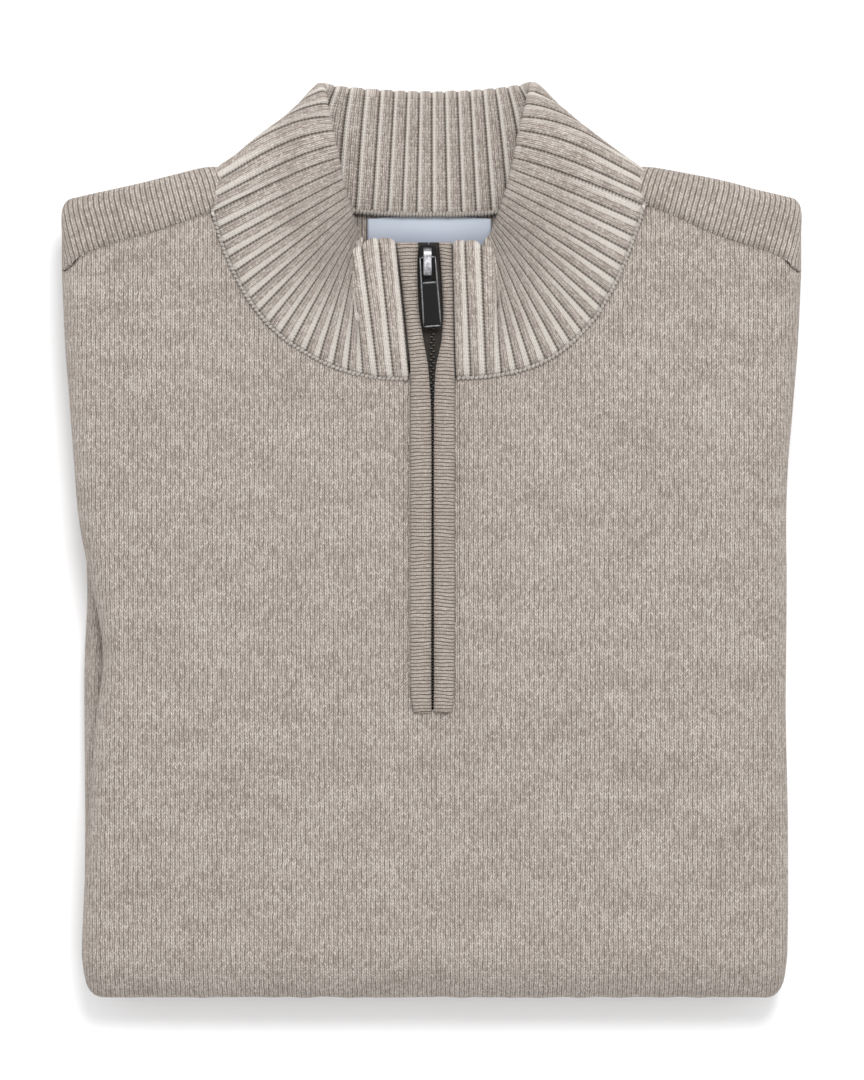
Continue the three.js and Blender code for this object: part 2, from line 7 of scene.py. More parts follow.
import bmesh
import bpy
from mathutils import Matrix, Vector, noise


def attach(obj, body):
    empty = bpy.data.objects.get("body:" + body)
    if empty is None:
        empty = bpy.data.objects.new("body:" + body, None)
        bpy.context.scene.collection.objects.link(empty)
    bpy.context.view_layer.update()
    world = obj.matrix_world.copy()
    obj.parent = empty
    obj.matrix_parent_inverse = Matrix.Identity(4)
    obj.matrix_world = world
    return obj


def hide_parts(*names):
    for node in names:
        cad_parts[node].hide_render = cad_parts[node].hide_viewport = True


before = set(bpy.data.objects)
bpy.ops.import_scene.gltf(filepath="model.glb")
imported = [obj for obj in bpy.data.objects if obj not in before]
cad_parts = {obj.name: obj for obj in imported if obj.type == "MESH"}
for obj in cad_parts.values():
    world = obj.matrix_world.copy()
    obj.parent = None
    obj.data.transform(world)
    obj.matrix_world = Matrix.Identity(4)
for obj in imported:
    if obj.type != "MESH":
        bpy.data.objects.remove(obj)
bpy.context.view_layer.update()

# Camera, floor and light.
# The sweater is seen from straight above on a white table, in soft light that comes a
# little more from behind its collar.
MM = 0.001
IMAGE_HEIGHT = 1080
MM_PER_PIXEL = 0.45
CAMERA_ABOVE = 3.0
TOP_OF_STACK = 0.045

camera_data = bpy.data.cameras.new("camera")
camera_data.sensor_width = 36
camera_data.lens = camera_data.sensor_width * CAMERA_ABOVE / (IMAGE_HEIGHT * MM_PER_PIXEL * MM)
camera_data.clip_end = 20
camera = bpy.data.objects.new("camera", camera_data)
camera.location = (0.0002, 0.0, TOP_OF_STACK + CAMERA_ABOVE)
bpy.context.scene.collection.objects.link(camera)
bpy.context.scene.camera = camera
bpy.context.scene.view_settings.view_transform = "Standard"


def add_area_light(name, size, watts, place, target):
    data = bpy.data.lights.new(name, "AREA")
    data.shape = "DISK"
    data.size = size
    data.energy = watts
    light = bpy.data.objects.new(name, data)
    light.location = place
    light.rotation_euler = (Vector(target) - Vector(place)).to_track_quat("-Z", "Y").to_euler()
    bpy.context.scene.collection.objects.link(light)


add_area_light("window", 0.9, 42, (0.25, 1.15, 2.3), (0, 0, 0))

sky = bpy.data.worlds.new("sky")
sky.use_nodes = True
sky.node_tree.nodes["Background"].inputs["Color"].default_value = (1.0, 1.0, 1.0, 1)
sky.node_tree.nodes["Background"].inputs["Strength"].default_value = 1.0
bpy.context.scene.world = sky


def finish_mesh(bm, name):
    """The bmesh as a smooth object in the scene."""
    for face in bm.faces:
        face.smooth = True
    mesh = bpy.data.meshes.new(name)
    bm.to_mesh(mesh)
    bm.free()
    piece = bpy.data.objects.new(name, mesh)
    bpy.context.scene.collection.objects.link(piece)
    return piece


bm = bmesh.new()
bmesh.ops.create_grid(bm, x_segments=2, y_segments=2, size=3)
bmesh.ops.translate(bm, verts=bm.verts, vec=(0, 0, -0.0003))
floor = finish_mesh(bm, "floor")
floor_paint = bpy.data.materials.new("white table")
floor_paint.use_nodes = True
floor_shader = floor_paint.node_tree.nodes["Principled BSDF"]
floor_shader.inputs["Base Color"].default_value = (0.92, 0.92, 0.925, 1)
floor_shader.inputs["Roughness"].default_value = 0.9
floor_shader.inputs["Specular IOR Level"].default_value = 0.1
floor.data.materials.append(floor_paint)

# Front panel.
# Heathered taupe jersey, cut to the shoulders and the neck. It lies on top, rolls round both
# sides, turns under at the bottom and comes back along the table to the hem band.
TOP = 45.0
CROWN = 1.5
HALF_WIDTH = 160.0
STACK = 21.0
ROLL = 8.0
ROLL_ARC = 29.5
CLOTH = 1.9
FOLD_RADIUS = TOP / 2
FOLD_LINE = -185.2
FOLD_ARC = math.pi * FOLD_RADIUS
HEM_SEAM = 58.0
FRONT_ACROSS = 188.0
WALE = 2.1
COURSE = 1.5

Side = namedtuple("Side", "y left right")
UPPER_SIDES = [
    Side(-208, 157, 159.8), Side(-185, 158, 160.8), Side(-130, 155.2, 161),
    Side(-80, 151.5, 160), Side(-57, 148.5, 160.1), Side(-40, 149.6, 160.3),
    Side(-14, 155, 160.4), Side(9, 159.3, 160.2), Side(33, 161.4, 161),
    Side(63, 163.6, 163.5), Side(90, 165.7, 165.6), Side(121, 167, 167),
]
LOWER_SIDES = [
    Side(-208, 157, 159.8), Side(-185, 158, 160.8), Side(-130, 157.6, 160.4),
    Side(-60, 158, 159.4), Side(-22, 156.7, 159.6), Side(27, 159, 161),
    Side(60, 160, 164.3), Side(121, 160, 163.5),
]
Point = namedtuple("Point", "x y")
FRONT_EDGE = [
    Point(-167, 121), Point(-159, 127), Point(-153, 130.6), Point(-143, 134),
    Point(-133, 136.5), Point(-121, 140), Point(-111, 143.5), Point(-101.8, 147),
    Point(-98, 147), Point(-92.9, 132), Point(-83, 112), Point(-70, 96.5), Point(-54, 85.5),
    Point(-41, 79.5), Point(-25.5, 76), Point(-10, 75), Point(10.7, 75.5), Point(26, 76.4),
    Point(43.2, 80), Point(57.6, 87.2), Point(71.9, 101), Point(80, 113.5),
    Point(86.3, 126.5), Point(92.7, 143), Point(95.3, 150), Point(99.4, 150),
    Point(110, 145.6), Point(121, 140.5), Point(133, 135.6), Point(143, 132.5),
    Point(153, 129.6), Point(159, 126.3), Point(167, 120.5),
]
SLIT = (-8.0, 8.8, -76.0)
ZIP_SEAM = (0.4, 10.6, -79.0)

Trough = namedtuple("Trough", "x y angle length width depth")
FRONT_TROUGHS = [
    Trough(-128, -52, 14, 62, 11, 1.5), Trough(-120, -70, -9, 50, 9, 0.9),
    Trough(-132, -22, 30, 48, 10, 1.0), Trough(-105, 62, 58, 70, 15, 0.9),
    Trough(-64, 52, 62, 46, 12, 0.8), Trough(60, 50, -58, 48, 13, 0.8),
    Trough(108, 84, -64, 62, 15, 0.9), Trough(24, -96, 82, 60, 15, 0.7),
    Trough(-16, -104, 96, 56, 13, 0.7), Trough(118, -40, 92, 96, 18, 0.7),
    Trough(-72, -128, 78, 86, 19, 0.8), Trough(70, -142, 100, 72, 17, 0.7),
    Trough(0, -168, 2, 190, 12, 0.7),
]


def read_curve(rows, key, column, at):
    """Value of a table's column between its rows, on a smooth curve."""
    places = [getattr(row, key) for row in rows]
    values = [getattr(row, column) for row in rows]
    last = len(rows) - 1
    if at <= places[0]:
        return values[0]
    if at >= places[last]:
        return values[last]
    i = next(k for k in range(1, last + 1) if places[k] >= at)

    def slope(k):
        low, high = max(k - 1, 0), min(k + 1, last)
        return (values[high] - values[low]) / (places[high] - places[low])

    span = places[i] - places[i - 1]
    t = (at - places[i - 1]) / span
    return ((2 * t**3 - 3 * t**2 + 1) * values[i - 1] + (t**3 - 2 * t**2 + t) * span * slope(i - 1)
            + (3 * t**2 - 2 * t**3) * values[i] + (t**3 - t**2) * span * slope(i))


def read_line(rows, key, column, at):
    """Value of a table's column between its rows, on straight lines."""
    if at <= getattr(rows[0], key):
        return getattr(rows[0], column)
    for low, high in zip(rows, rows[1:]):
        if at <= getattr(high, key):
            t = (at - getattr(low, key)) / (getattr(high, key) - getattr(low, key))
            return getattr(low, column) * (1 - t) + getattr(high, column) * t
    return getattr(rows[-1], column)


def mix(a, b, t):
    return a + (b - a) * t


def smooth(value, low, high):
    """0 below low, 1 above high, and a soft step between them."""
    t = min(max((value - low) / (high - low), 0), 1)
    return t * t * (3 - 2 * t)


def bell(distance, width):
    """A bump of height 1 that fades out with the distance."""
    return math.exp(-((distance / width) ** 2))


def trough_depth(troughs, x, y):
    """How deep the soft creases are at a point, each one uneven along its length."""
    depth = 0.0
    for trough in troughs:
        turn = math.radians(trough.angle)
        along = (x - trough.x) * math.cos(turn) + (y - trough.y) * math.sin(turn)
        across = (y - trough.y) * math.cos(turn) - (x - trough.x) * math.sin(turn)
        across += 3.5 * math.sin(along / trough.length * 5 + trough.x)
        reach = (along / trough.length * 2) ** 2 + (across / trough.width) ** 2
        if reach < 6:
            depth += trough.depth * math.exp(-reach)
    return depth


def cloth_wobble(x, y, seed):
    """Slow unevenness of a hand smoothed cloth."""
    slow = noise.noise(Vector((x / 46, y / 60, seed)))
    quick = noise.noise(Vector((x / 15, y / 21, seed + 7)))
    return 0.75 * slow + 0.28 * quick


def round_side(across, half):
    """Where a point that far across the cloth ends up: how far out and how deep."""
    flat = half - ROLL
    if across <= flat:
        return across, 0.0
    turn = (across - flat) / ROLL_ARC * math.pi
    if turn <= math.pi:
        return flat + ROLL * math.sin(turn), STACK / 2 * (1 - math.cos(turn))
    return flat - (across - flat - ROLL_ARC), STACK


def crown(x):
    """How far the stack's top sinks towards its sides."""
    return CROWN * min(abs(x) / HALF_WIDTH, 1) ** 2


def front_shape(u, v):
    """Under the stack at v = 0, round the bottom fold, then up to the shoulders."""
    across = (u * 2 - 1) * FRONT_ACROSS
    side = -1 if across < 0 else 1
    hand = "left" if across < 0 else "right"
    under_share, fold_share = 0.2, 0.36
    wale = across / WALE
    if v < under_share:
        y = mix(HEM_SEAM, FOLD_LINE, v / under_share)
        x, depth = round_side(abs(across), read_curve(LOWER_SIDES, "y", hand, y))
        return (side * x, y, depth), (wale, (FOLD_LINE - FOLD_ARC - y) / COURSE)
    if v < fold_share:
        turn = (v - under_share) / (fold_share - under_share) * math.pi
        edge_y = FOLD_LINE - FOLD_RADIUS * math.sin(turn)
        x, depth = round_side(abs(across), read_curve(UPPER_SIDES, "y", hand, edge_y))
        ruffle = 0.5 * noise.noise(Vector((across / 9, turn * 2, 3))) * math.sin(turn)
        radius = FOLD_RADIUS - depth - 0.4 * math.sin(turn) + ruffle
        z = FOLD_RADIUS - radius * math.cos(turn) - crown(x) * smooth(turn, math.pi / 2, math.pi)
        y = FOLD_LINE - radius * math.sin(turn)
        course = (FOLD_LINE - FOLD_RADIUS * (math.pi - turn)) / COURSE
        return (side * x, y, max(z, 0)), (wale, course)
    up = (v - fold_share) / (1 - fold_share)
    edge = read_line(FRONT_EDGE, "x", "y", across)
    y = mix(FOLD_LINE, edge, up)
    x, depth = round_side(abs(across), read_curve(UPPER_SIDES, "y", hand, y))
    on_top = 1 - smooth(depth, 0, STACK / 2)
    wave = cloth_wobble(side * x, y, 2) - trough_depth(FRONT_TROUGHS, side * x, y)
    wave *= smooth(up, 0, 0.08)
    seam = 1.3 * smooth(y, edge - 4, edge)
    if y > ZIP_SEAM[2] - 4:
        beside = abs(abs(across - ZIP_SEAM[0]) - ZIP_SEAM[1])
        seam += 0.9 * bell(beside, 1.8) * smooth(y, ZIP_SEAM[2] - 4, ZIP_SEAM[2])
    z = TOP - depth - crown(x) + (wave - seam) * on_top
    return (side * x, y, z), (wale, y / COURSE)


def cloth_grid(columns, rows, shape):
    """A grid of cloth whose shape(u, v) gives a place in millimetres and its stitch numbers."""
    bm = bmesh.new()
    bmesh.ops.create_grid(bm, x_segments=columns, y_segments=rows, size=0.5)
    stitches = {}
    for vert in bm.verts:
        place, stitch = shape(vert.co.x + 0.5, vert.co.y + 0.5)
        stitches[vert] = stitch
        vert.co = Vector(place) * MM
    uv = bm.loops.layers.uv.new("knit")
    for face in bm.faces:
        for loop in face.loops:
            loop[uv].uv = stitches[loop.vert]
    return bm


def give_wall(piece, thickness):
    wall = piece.modifiers.new("wall", "SOLIDIFY")
    wall.thickness = thickness * MM
    wall.offset = -1
    wall.use_rim = True


def link_all(tree, sockets, values):
    """Sets each socket to a number or colour, or links it to another node's output."""
    for socket, value in zip(sockets, values):
        if isinstance(value, bpy.types.NodeSocket):
            tree.links.new(value, socket)
        elif isinstance(value, tuple):
            socket.default_value = (*value, 1)
        else:
            socket.default_value = value


def calc(tree, operation, *values):
    node = tree.nodes.new("ShaderNodeMath")
    node.operation = operation
    link_all(tree, node.inputs, values)
    return node.outputs[0]


def blend_colours(tree, factor, first, second):
    node = tree.nodes.new("ShaderNodeMix")
    node.data_type = "RGBA"
    link_all(tree, (node.inputs[0], node.inputs[6], node.inputs[7]), (factor, first, second))
    return node.outputs[2]


def ramp(tree, value, low, high):
    """0 to 1 as value goes from low to high, softly at both ends."""
    node = tree.nodes.new("ShaderNodeMapRange")
    node.interpolation_type = "SMOOTHSTEP"
    link_all(tree, node.inputs, (value, low, high))
    return node.outputs[0]


def coords(tree, x, y, z=0.0):
    node = tree.nodes.new("ShaderNodeCombineXYZ")
    link_all(tree, node.inputs, (x, y, z))
    return node.outputs[0]


def noise_value(tree, place, scale, detail=2.0, roughness=0.5):
    node = tree.nodes.new("ShaderNodeTexNoise")
    node.inputs["Scale"].default_value = scale
    node.inputs["Detail"].default_value = detail
    node.inputs["Roughness"].default_value = roughness
    tree.links.new(place, node.inputs["Vector"])
    return node.outputs["Fac"]


def random_value(tree, place):
    node = tree.nodes.new("ShaderNodeTexWhiteNoise")
    node.noise_dimensions = "3D"
    tree.links.new(place, node.inputs["Vector"])
    return node.outputs["Value"]


def new_material(name):
    material = bpy.data.materials.new(name)
    material.use_nodes = True
    return material, material.node_tree, material.node_tree.nodes["Principled BSDF"]


Knit = namedtuple("Knit", "material tree shader wale course height gap shade fibre cloud")


def knit_stitches(name, slant=0.75):
    """A material whose stitch pattern is ready: V shaped loops, one to each wale and course."""
    material, tree, shader = new_material(name)
    source = tree.nodes.new("ShaderNodeUVMap")
    source.uv_map = "knit"
    split = tree.nodes.new("ShaderNodeSeparateXYZ")
    tree.links.new(source.outputs["UV"], split.inputs[0])
    wale, course = split.outputs[0], split.outputs[1]
    plain = coords(tree, wale, course)
    wobble = calc(tree, "MULTIPLY_ADD", noise_value(tree, plain, 0.33, 1), 1.1, -0.55)
    bent = calc(tree, "MULTIPLY_ADD", wobble, 0.4, wale)
    from_middle = calc(tree, "SUBTRACT", calc(tree, "FRACT", bent), 0.5)
    leg = calc(tree, "MULTIPLY", calc(tree, "ABSOLUTE", from_middle), 2)
    rise = calc(tree, "SUBTRACT", calc(tree, "ADD", course, wobble),
                calc(tree, "MULTIPLY", leg, slant))
    across_leg = calc(tree, "SINE", calc(tree, "MULTIPLY", leg, math.pi))
    across_leg = calc(tree, "MAXIMUM", across_leg, 0.0)
    along_leg = calc(tree, "SINE", calc(tree, "MULTIPLY", calc(tree, "FRACT", rise), math.pi))
    height = calc(tree, "MULTIPLY", calc(tree, "POWER", across_leg, 0.7),
                  calc(tree, "POWER", calc(tree, "MAXIMUM", along_leg, 0.0), 0.5))
    stitch = coords(tree, calc(tree, "ROUND", bent), calc(tree, "FLOOR", rise), 3.0)
    open_share = calc(tree, "MULTIPLY_ADD", random_value(tree, stitch), 0.85, 0.15)
    gap = calc(tree, "MULTIPLY", ramp(tree, leg, 0.6, 0.95), open_share)
    height = calc(tree, "MULTIPLY", height, calc(tree, "MULTIPLY_ADD", gap, -0.75, 1.0))
    cell = coords(tree, calc(tree, "FLOOR", calc(tree, "MULTIPLY", bent, 2)),
                  calc(tree, "FLOOR", rise))
    shade = random_value(tree, cell)
    fibre = noise_value(tree, coords(tree, calc(tree, "MULTIPLY", wale, 0.6), rise), 2.3, 3, 0.65)
    cloud = noise_value(tree, coords(tree, calc(tree, "MULTIPLY", wale, 0.5), course), 0.11, 3, 0.6)
    return Knit(material, tree, shader, wale, course, height, gap, shade, fibre, cloud)


TAUPE = (0.325, 0.274, 0.237)
TAUPE_LIGHT = (0.610, 0.548, 0.495)
# The dark taupe is painted shade for the knit's hollows, grooves, valleys and loop eyes.
TAUPE_PAINTED_SHADE = (0.085, 0.068, 0.056)


def heather(knit, light=1.0, gaps=0.75):
    """Light and dark fibres mixed in the yarn, stitch by stitch, with painted shade darkening the
    low parts and the gaps between legs.
    """
    tree = knit.tree
    fleck = calc(tree, "MULTIPLY_ADD", knit.fibre, 1.6, -0.8)
    fleck = calc(tree, "ADD", fleck, calc(tree, "MULTIPLY_ADD", knit.shade, 0.7, 0.08))
    fleck = calc(tree, "ADD", fleck, calc(tree, "MULTIPLY_ADD", knit.cloud, 0.8, -0.4))
    yarn = blend_colours(tree, calc(tree, "MULTIPLY", calc(tree, "MAXIMUM", fleck, 0.0), light),
                         TAUPE, TAUPE_LIGHT)
    # Painted shade: the low parts of each stitch and the gaps between the legs are darkened.
    deep = calc(tree, "SUBTRACT", 1.0, ramp(tree, knit.height, 0.0, 0.62))
    yarn = blend_colours(tree, calc(tree, "MULTIPLY", deep, gaps * 0.8), yarn, TAUPE_PAINTED_SHADE)
    return blend_colours(tree, calc(tree, "MULTIPLY", knit.gap, gaps), yarn, TAUPE_PAINTED_SHADE)


def finish_knit(knit, colour, relief=None, bump=0.85, distance=0.0006):
    """Sets the colour, the dull finish with a soft bloom, and the relief of the stitches."""
    tree, shader = knit.tree, knit.shader
    tree.links.new(colour, shader.inputs["Base Color"])
    shader.inputs["Roughness"].default_value = 0.92
    shader.inputs["Specular IOR Level"].default_value = 0.18
    shader.inputs["Sheen Weight"].default_value = 0.15
    shader.inputs["Sheen Roughness"].default_value = 0.5
    shader.inputs["Sheen Tint"].default_value = (1.0, 0.95, 0.9, 1)
    node = tree.nodes.new("ShaderNodeBump")
    node.inputs["Strength"].default_value = bump
    node.inputs["Distance"].default_value = distance
    height = calc(tree, "MULTIPLY_ADD", knit.fibre, 0.35, relief or knit.height)
    tree.links.new(height, node.inputs["Height"])
    tree.links.new(node.outputs["Normal"], shader.inputs["Normal"])


knit = knit_stitches("taupe jersey")
finish_knit(knit, heather(knit))
jersey = knit.material

bm = cloth_grid(176, 236, front_shape)
slit_faces = [
    face for face in bm.faces
    if SLIT[0] * MM < face.calc_center_median().x < SLIT[1] * MM
    and face.calc_center_median().y > SLIT[2] * MM
    and face.calc_center_median().z > FOLD_RADIUS * MM
]
bmesh.ops.delete(bm, geom=slit_faces, context="FACES")
front = finish_mesh(bm, "front_panel")
front.data.materials.append(jersey)
give_wall(front, CLOTH)
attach(front, "garment")
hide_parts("front")

# Hem band.
# A band of two by two rib at the lower end of the body. It lies under the stack and rolls
# up at both sides as the panel does.
HEM_END = 118.0
HEM_RIB = 6.2
HEM_RISE = 0.5
HEM_CLOTH = CLOTH - 0.3


def hem_shape(u, v):
    """Continues the front along the table, with its ribs rising from the cloth."""
    across = (u * 2 - 1) * FRONT_ACROSS
    side = -1 if across < 0 else 1
    hand = "left" if across < 0 else "right"
    y = mix(HEM_END, HEM_SEAM - 1, v)
    rise = HEM_RISE * (abs(math.sin(math.pi * across / HEM_RIB)) ** 0.6 - 1)
    rise *= 1 - smooth(v, 0.93, 1)
    half = read_curve(LOWER_SIDES, "y", hand, y)
    x, depth = round_side(abs(across), half)
    turn = min(max((abs(across) - half + ROLL) / ROLL_ARC * math.pi, 0), math.pi)
    place = (side * (x + rise * math.sin(turn)), y, depth - rise * math.cos(turn))
    return place, (across / HEM_RIB * 4, y / COURSE)


knit = knit_stitches("hem rib")
finish_knit(knit, heather(knit))
hem = finish_mesh(cloth_grid(364, 22, hem_shape), "hem_band")
hem.data.materials.append(knit.material)
give_wall(hem, HEM_CLOTH)
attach(hem, "garment")
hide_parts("hem")

# Back panel.
# The same jersey. A strip of it comes forward over each shoulder to a seam on the front, and
# inside the neck it runs on below the label, deep in the opening.
SHOULDER_TAIL = 8.0
TUCK = 1.6
YOKE_WALE = 2.4
YOKE_LEAN = math.radians(15)
Shoulder = namedtuple("Shoulder", "at seam_x seam_y edge_x edge_y")
LEFT_SHOULDER = [
    Shoulder(0, -159, 127, -167, 121), Shoulder(1, -157.5, 127.9, -167, 136),
    Shoulder(2, -153, 130.6, -167, 148.5), Shoulder(2.4, -149, 132, -164.6, 153),
    Shoulder(3, -143, 134, -159, 154.8),
    Shoulder(4, -133, 136.5, -147, 157.5), Shoulder(5, -121, 140, -132, 160.8),
    Shoulder(6, -111, 143.5, -116, 164.8), Shoulder(7, -101.8, 147, -102.2, 168),
    Shoulder(8, -93, 150, -92, 168),
]
RIGHT_SHOULDER = [
    Shoulder(0, 90, 152, 90, 168), Shoulder(1, 99.4, 150, 99.8, 168),
    Shoulder(2, 110, 145.6, 115, 165.4), Shoulder(3, 121, 140.5, 132, 162),
    Shoulder(4, 133, 135.6, 147, 158), Shoulder(5, 143, 132.5, 159, 155.2),
    Shoulder(5.6, 149, 131, 164.6, 153.4), Shoulder(6, 153, 129.6, 167, 149),
    Shoulder(7, 157.5, 127.1, 167, 136),
    Shoulder(8, 159, 126.3, 167, 120.5),
]
BACK_HALF_WIDTH = 144.0
BACK_LOW = 99.5
BACK_HIGH = 150
BACK_HIGH_IN_NECK = 157
BACK_Z = 26.3


def shoulder_shape(rows, hand):
    """A strip from the shoulder seam over the top edge to the inside."""
    def shape(u, v):
        at = u * rows[-1].at
        seam = Vector((read_curve(rows, "at", "seam_x", at), read_curve(rows, "at", "seam_y", at)))
        edge = Vector((read_curve(rows, "at", "edge_x", at),
                       read_curve(rows, "at", "edge_y", at) + 0.3))
        flat = max((edge - seam).length - ROLL, 0)
        out = (edge - seam).normalized()
        tail = min(SHOULDER_TAIL, flat)
        distance = mix(-TUCK, flat + ROLL_ARC + tail, v)
        turn = min(max(distance - flat, 0) / ROLL_ARC, 1) * math.pi
        reach = min(distance, flat) + ROLL * math.sin(turn) - max(distance - flat - ROLL_ARC, 0)
        place = seam + out * reach
        swell = 0.9 * bell(distance - 5.5, 3.6) - 1.3 * bell(distance, 1.5)
        swell += 0.4 * noise.noise(Vector((place.x / 13, distance / 11, 5)))
        swell -= 2.2 * smooth(-distance, -0.6, TUCK)
        z = TOP - STACK / 2 * (1 - math.cos(turn)) - crown(seam.x) + swell * math.cos(turn / 2)
        spread = seam + out * distance
        wale = spread.x * math.cos(YOKE_LEAN) + hand * spread.y * math.sin(YOKE_LEAN)
        course = spread.y * math.cos(YOKE_LEAN) - hand * spread.x * math.sin(YOKE_LEAN)
        return (place.x, place.y, z), (wale / YOKE_WALE, course / COURSE)
    return shape


def back_shape(u, v):
    """The part inside the neck, which rises towards the label."""
    x = (u * 2 - 1) * BACK_HALF_WIDTH
    in_neck = 1 - smooth(abs(x), 84, 104)
    y = mix(BACK_LOW, mix(BACK_HIGH, BACK_HIGH_IN_NECK, in_neck), v)
    z = BACK_Z + 4 * smooth(y, 116, 130) * in_neck
    z += 0.5 * noise.noise(Vector((x / 20, y / 20, 9)))
    return (x, y, z), (x / WALE, y / COURSE)


knit = knit_stitches("shoulder jersey")
grooves = ramp(knit.tree, calc(knit.tree, "PINGPONG", knit.wale, 0.5), 0.0, 0.24)
relief = calc(knit.tree, "MULTIPLY_ADD", grooves, 0.8, 0.2)
relief = calc(knit.tree, "MULTIPLY", knit.height, relief)
# Painted shade: the grooves between the slanted wales are darkened.
groove_shade = calc(knit.tree, "MULTIPLY_ADD", grooves, -0.75, 0.75)
shoulder_colour = blend_colours(knit.tree, groove_shade, heather(knit, 0.95, 0.6), TAUPE_PAINTED_SHADE)
finish_knit(knit, shoulder_colour, relief)


def join_grids(grids):
    """Several grids as one bmesh."""
    joined = bpy.data.meshes.new("joined")
    for grid in grids:
        grid.from_mesh(joined)
        grid.to_mesh(joined)
        grid.free()
    bm = bmesh.new()
    bm.from_mesh(joined)
    return bm


back = finish_mesh(join_grids([
    cloth_grid(80, 20, back_shape),
    cloth_grid(90, 44, shoulder_shape(LEFT_SHOULDER, 1)),
    cloth_grid(90, 44, shoulder_shape(RIGHT_SHOULDER, -1)),
]), "back_panel")
back.data.materials.append(knit.material)
give_wall(back, CLOTH)
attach(back, "garment")
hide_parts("back")

# Folded layers.
# The sleeves and the sides of the body, folded in between the two panels. Only their soft
# edges show, at the sides and at the back.
LAYER_INSET = 26.0
LAYER_CLOTH = 1.2
EDGE_SHARE = 0.36
CORNER_CUT = 0.035
Layer = namedtuple("Layer", "low high sides end inset")
LAYERS = [
    Layer(3.0, 6.7, "lower", 116.0, 3.0), Layer(6.9, 10.6, "lower", 113.5, 1.5),
    Layer(10.8, 14.4, "lower", 115.5, 2.0), Layer(14.6, 18.1, "lower", 112.0, 3.5),
    Layer(18.3, 21.6, "slot", 97.0, 16.0), Layer(21.8, 25.2, "slot", 95.0, 14.0),
    Layer(26.4, 30.4, "upper", 110.0, 2.5), Layer(30.6, 35.0, "upper", 111.0, 1.5),
    Layer(35.2, 41.0, "upper", 109.0, 2.5),
]


def layer_shape(layer, seed):
    """One folded edge that runs round the stack between two heights."""
    middle, half = (layer.low + layer.high) / 2, (layer.high - layer.low) / 2

    def shape(u, v):
        turn = (v - 0.5) * 2
        bend = min(max(turn / EDGE_SHARE, -1), 1) * math.pi / 2
        inset = max(abs(turn) - EDGE_SHARE, 0) / (1 - EDGE_SHARE) * LAYER_INSET
        inset += half * (1 - math.cos(bend))
        z = middle + half * math.sin(bend)
        around = u * 2 * math.pi
        square = max(abs(math.cos(around)), abs(math.sin(around)))
        cos, sin = math.cos(around) / square, math.sin(around) / square
        corner = 1 - CORNER_CUT * abs(cos * sin) ** 6
        y_mid = (FOLD_LINE + layer.end) / 2
        y = y_mid + sin * corner * ((layer.end - FOLD_LINE) / 2 - inset)
        rows = UPPER_SIDES if layer.sides == "upper" else LOWER_SIDES
        side_half = read_curve(rows, "y", "left" if cos < 0 else "right", y) - ROLL - layer.inset
        wavy = 1.1 * noise.noise(Vector((cos * 9, sin * 12, seed)))
        x = cos * corner * (side_half - inset + wavy)
        return (x, y + wavy, z + 0.3 * wavy), (u * 560, inset / COURSE + v * 6)
    return shape


bm = join_grids([
    cloth_grid(220, 14, layer_shape(layer, index * 3.7)) for index, layer in enumerate(LAYERS)
])
bmesh.ops.remove_doubles(bm, verts=bm.verts, dist=0.00001)
layers = finish_mesh(bm, "inner_layers")
layers.data.materials.append(jersey)
give_wall(layers, LAYER_CLOTH)
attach(layers, "garment")
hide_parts("folded_layers")

# Collar.
# A band of rib knit folded double at its top edge and linked to the neck edge. Its front
# halves lie flat with their outside up, the back one lies open with its inside up. An
# off-white yarn shows in every rib, widest next to the seam.
RIBS = 64
FRONT_RIBS = 18
STEPS_PER_RIB = 10
WALES_PER_RIB = 4
COLLAR_HEIGHT = 44.6
COLLAR_HALF = 1.75
RIB_RELIEF = 0.85
COLLAR_CLOTH = 1.3
COLLAR_SPAN = 55.0
PALE_AT = 0.8
SIDE_FOLDS = (22.2, 41.8)
SIDE_BULGE = 5.6
FRONT_LIFT = 2.2
BACK_SAG = 1.0
PALE = (0.660, 0.615, 0.565)

RIGHT_NECK = [
    Point(10.7, 73), Point(26, 73.9), Point(43.2, 77.5), Point(57.6, 84.7), Point(71.9, 98.3),
    Point(80, 111), Point(86.3, 124.2), Point(92.7, 141.4), Point(95.3, 150),
]
LEFT_NECK = [
    Point(-10, 72.5), Point(-25.5, 73.4), Point(-41, 77), Point(-54, 83), Point(-70, 94),
    Point(-83, 110), Point(-92.9, 130), Point(-98, 147),
]
Rib = namedtuple("Rib", "rib x y z")
BACK_BASE = [
    Rib(18, 94.9, 150.2, 44.2), Rib(19.6, 96.2, 159, 42.4), Rib(20.8, 95.8, 165.2, 39),
    Rib(21.8, 92, 164, 35.4), Rib(23, 82, 158.5, 33.4), Rib(26, 43, 150.2, 32.6),
    Rib(32, 0, 147.5, 32.4), Rib(38, -43, 150.2, 32.6), Rib(41, -82, 158.5, 33.4),
    Rib(42.2, -93, 164, 35.4), Rib(43.2, -98, 165.2, 39), Rib(44.4, -98.6, 157, 42.4),
    Rib(46, -97.5, 147.2, 44.2),
]
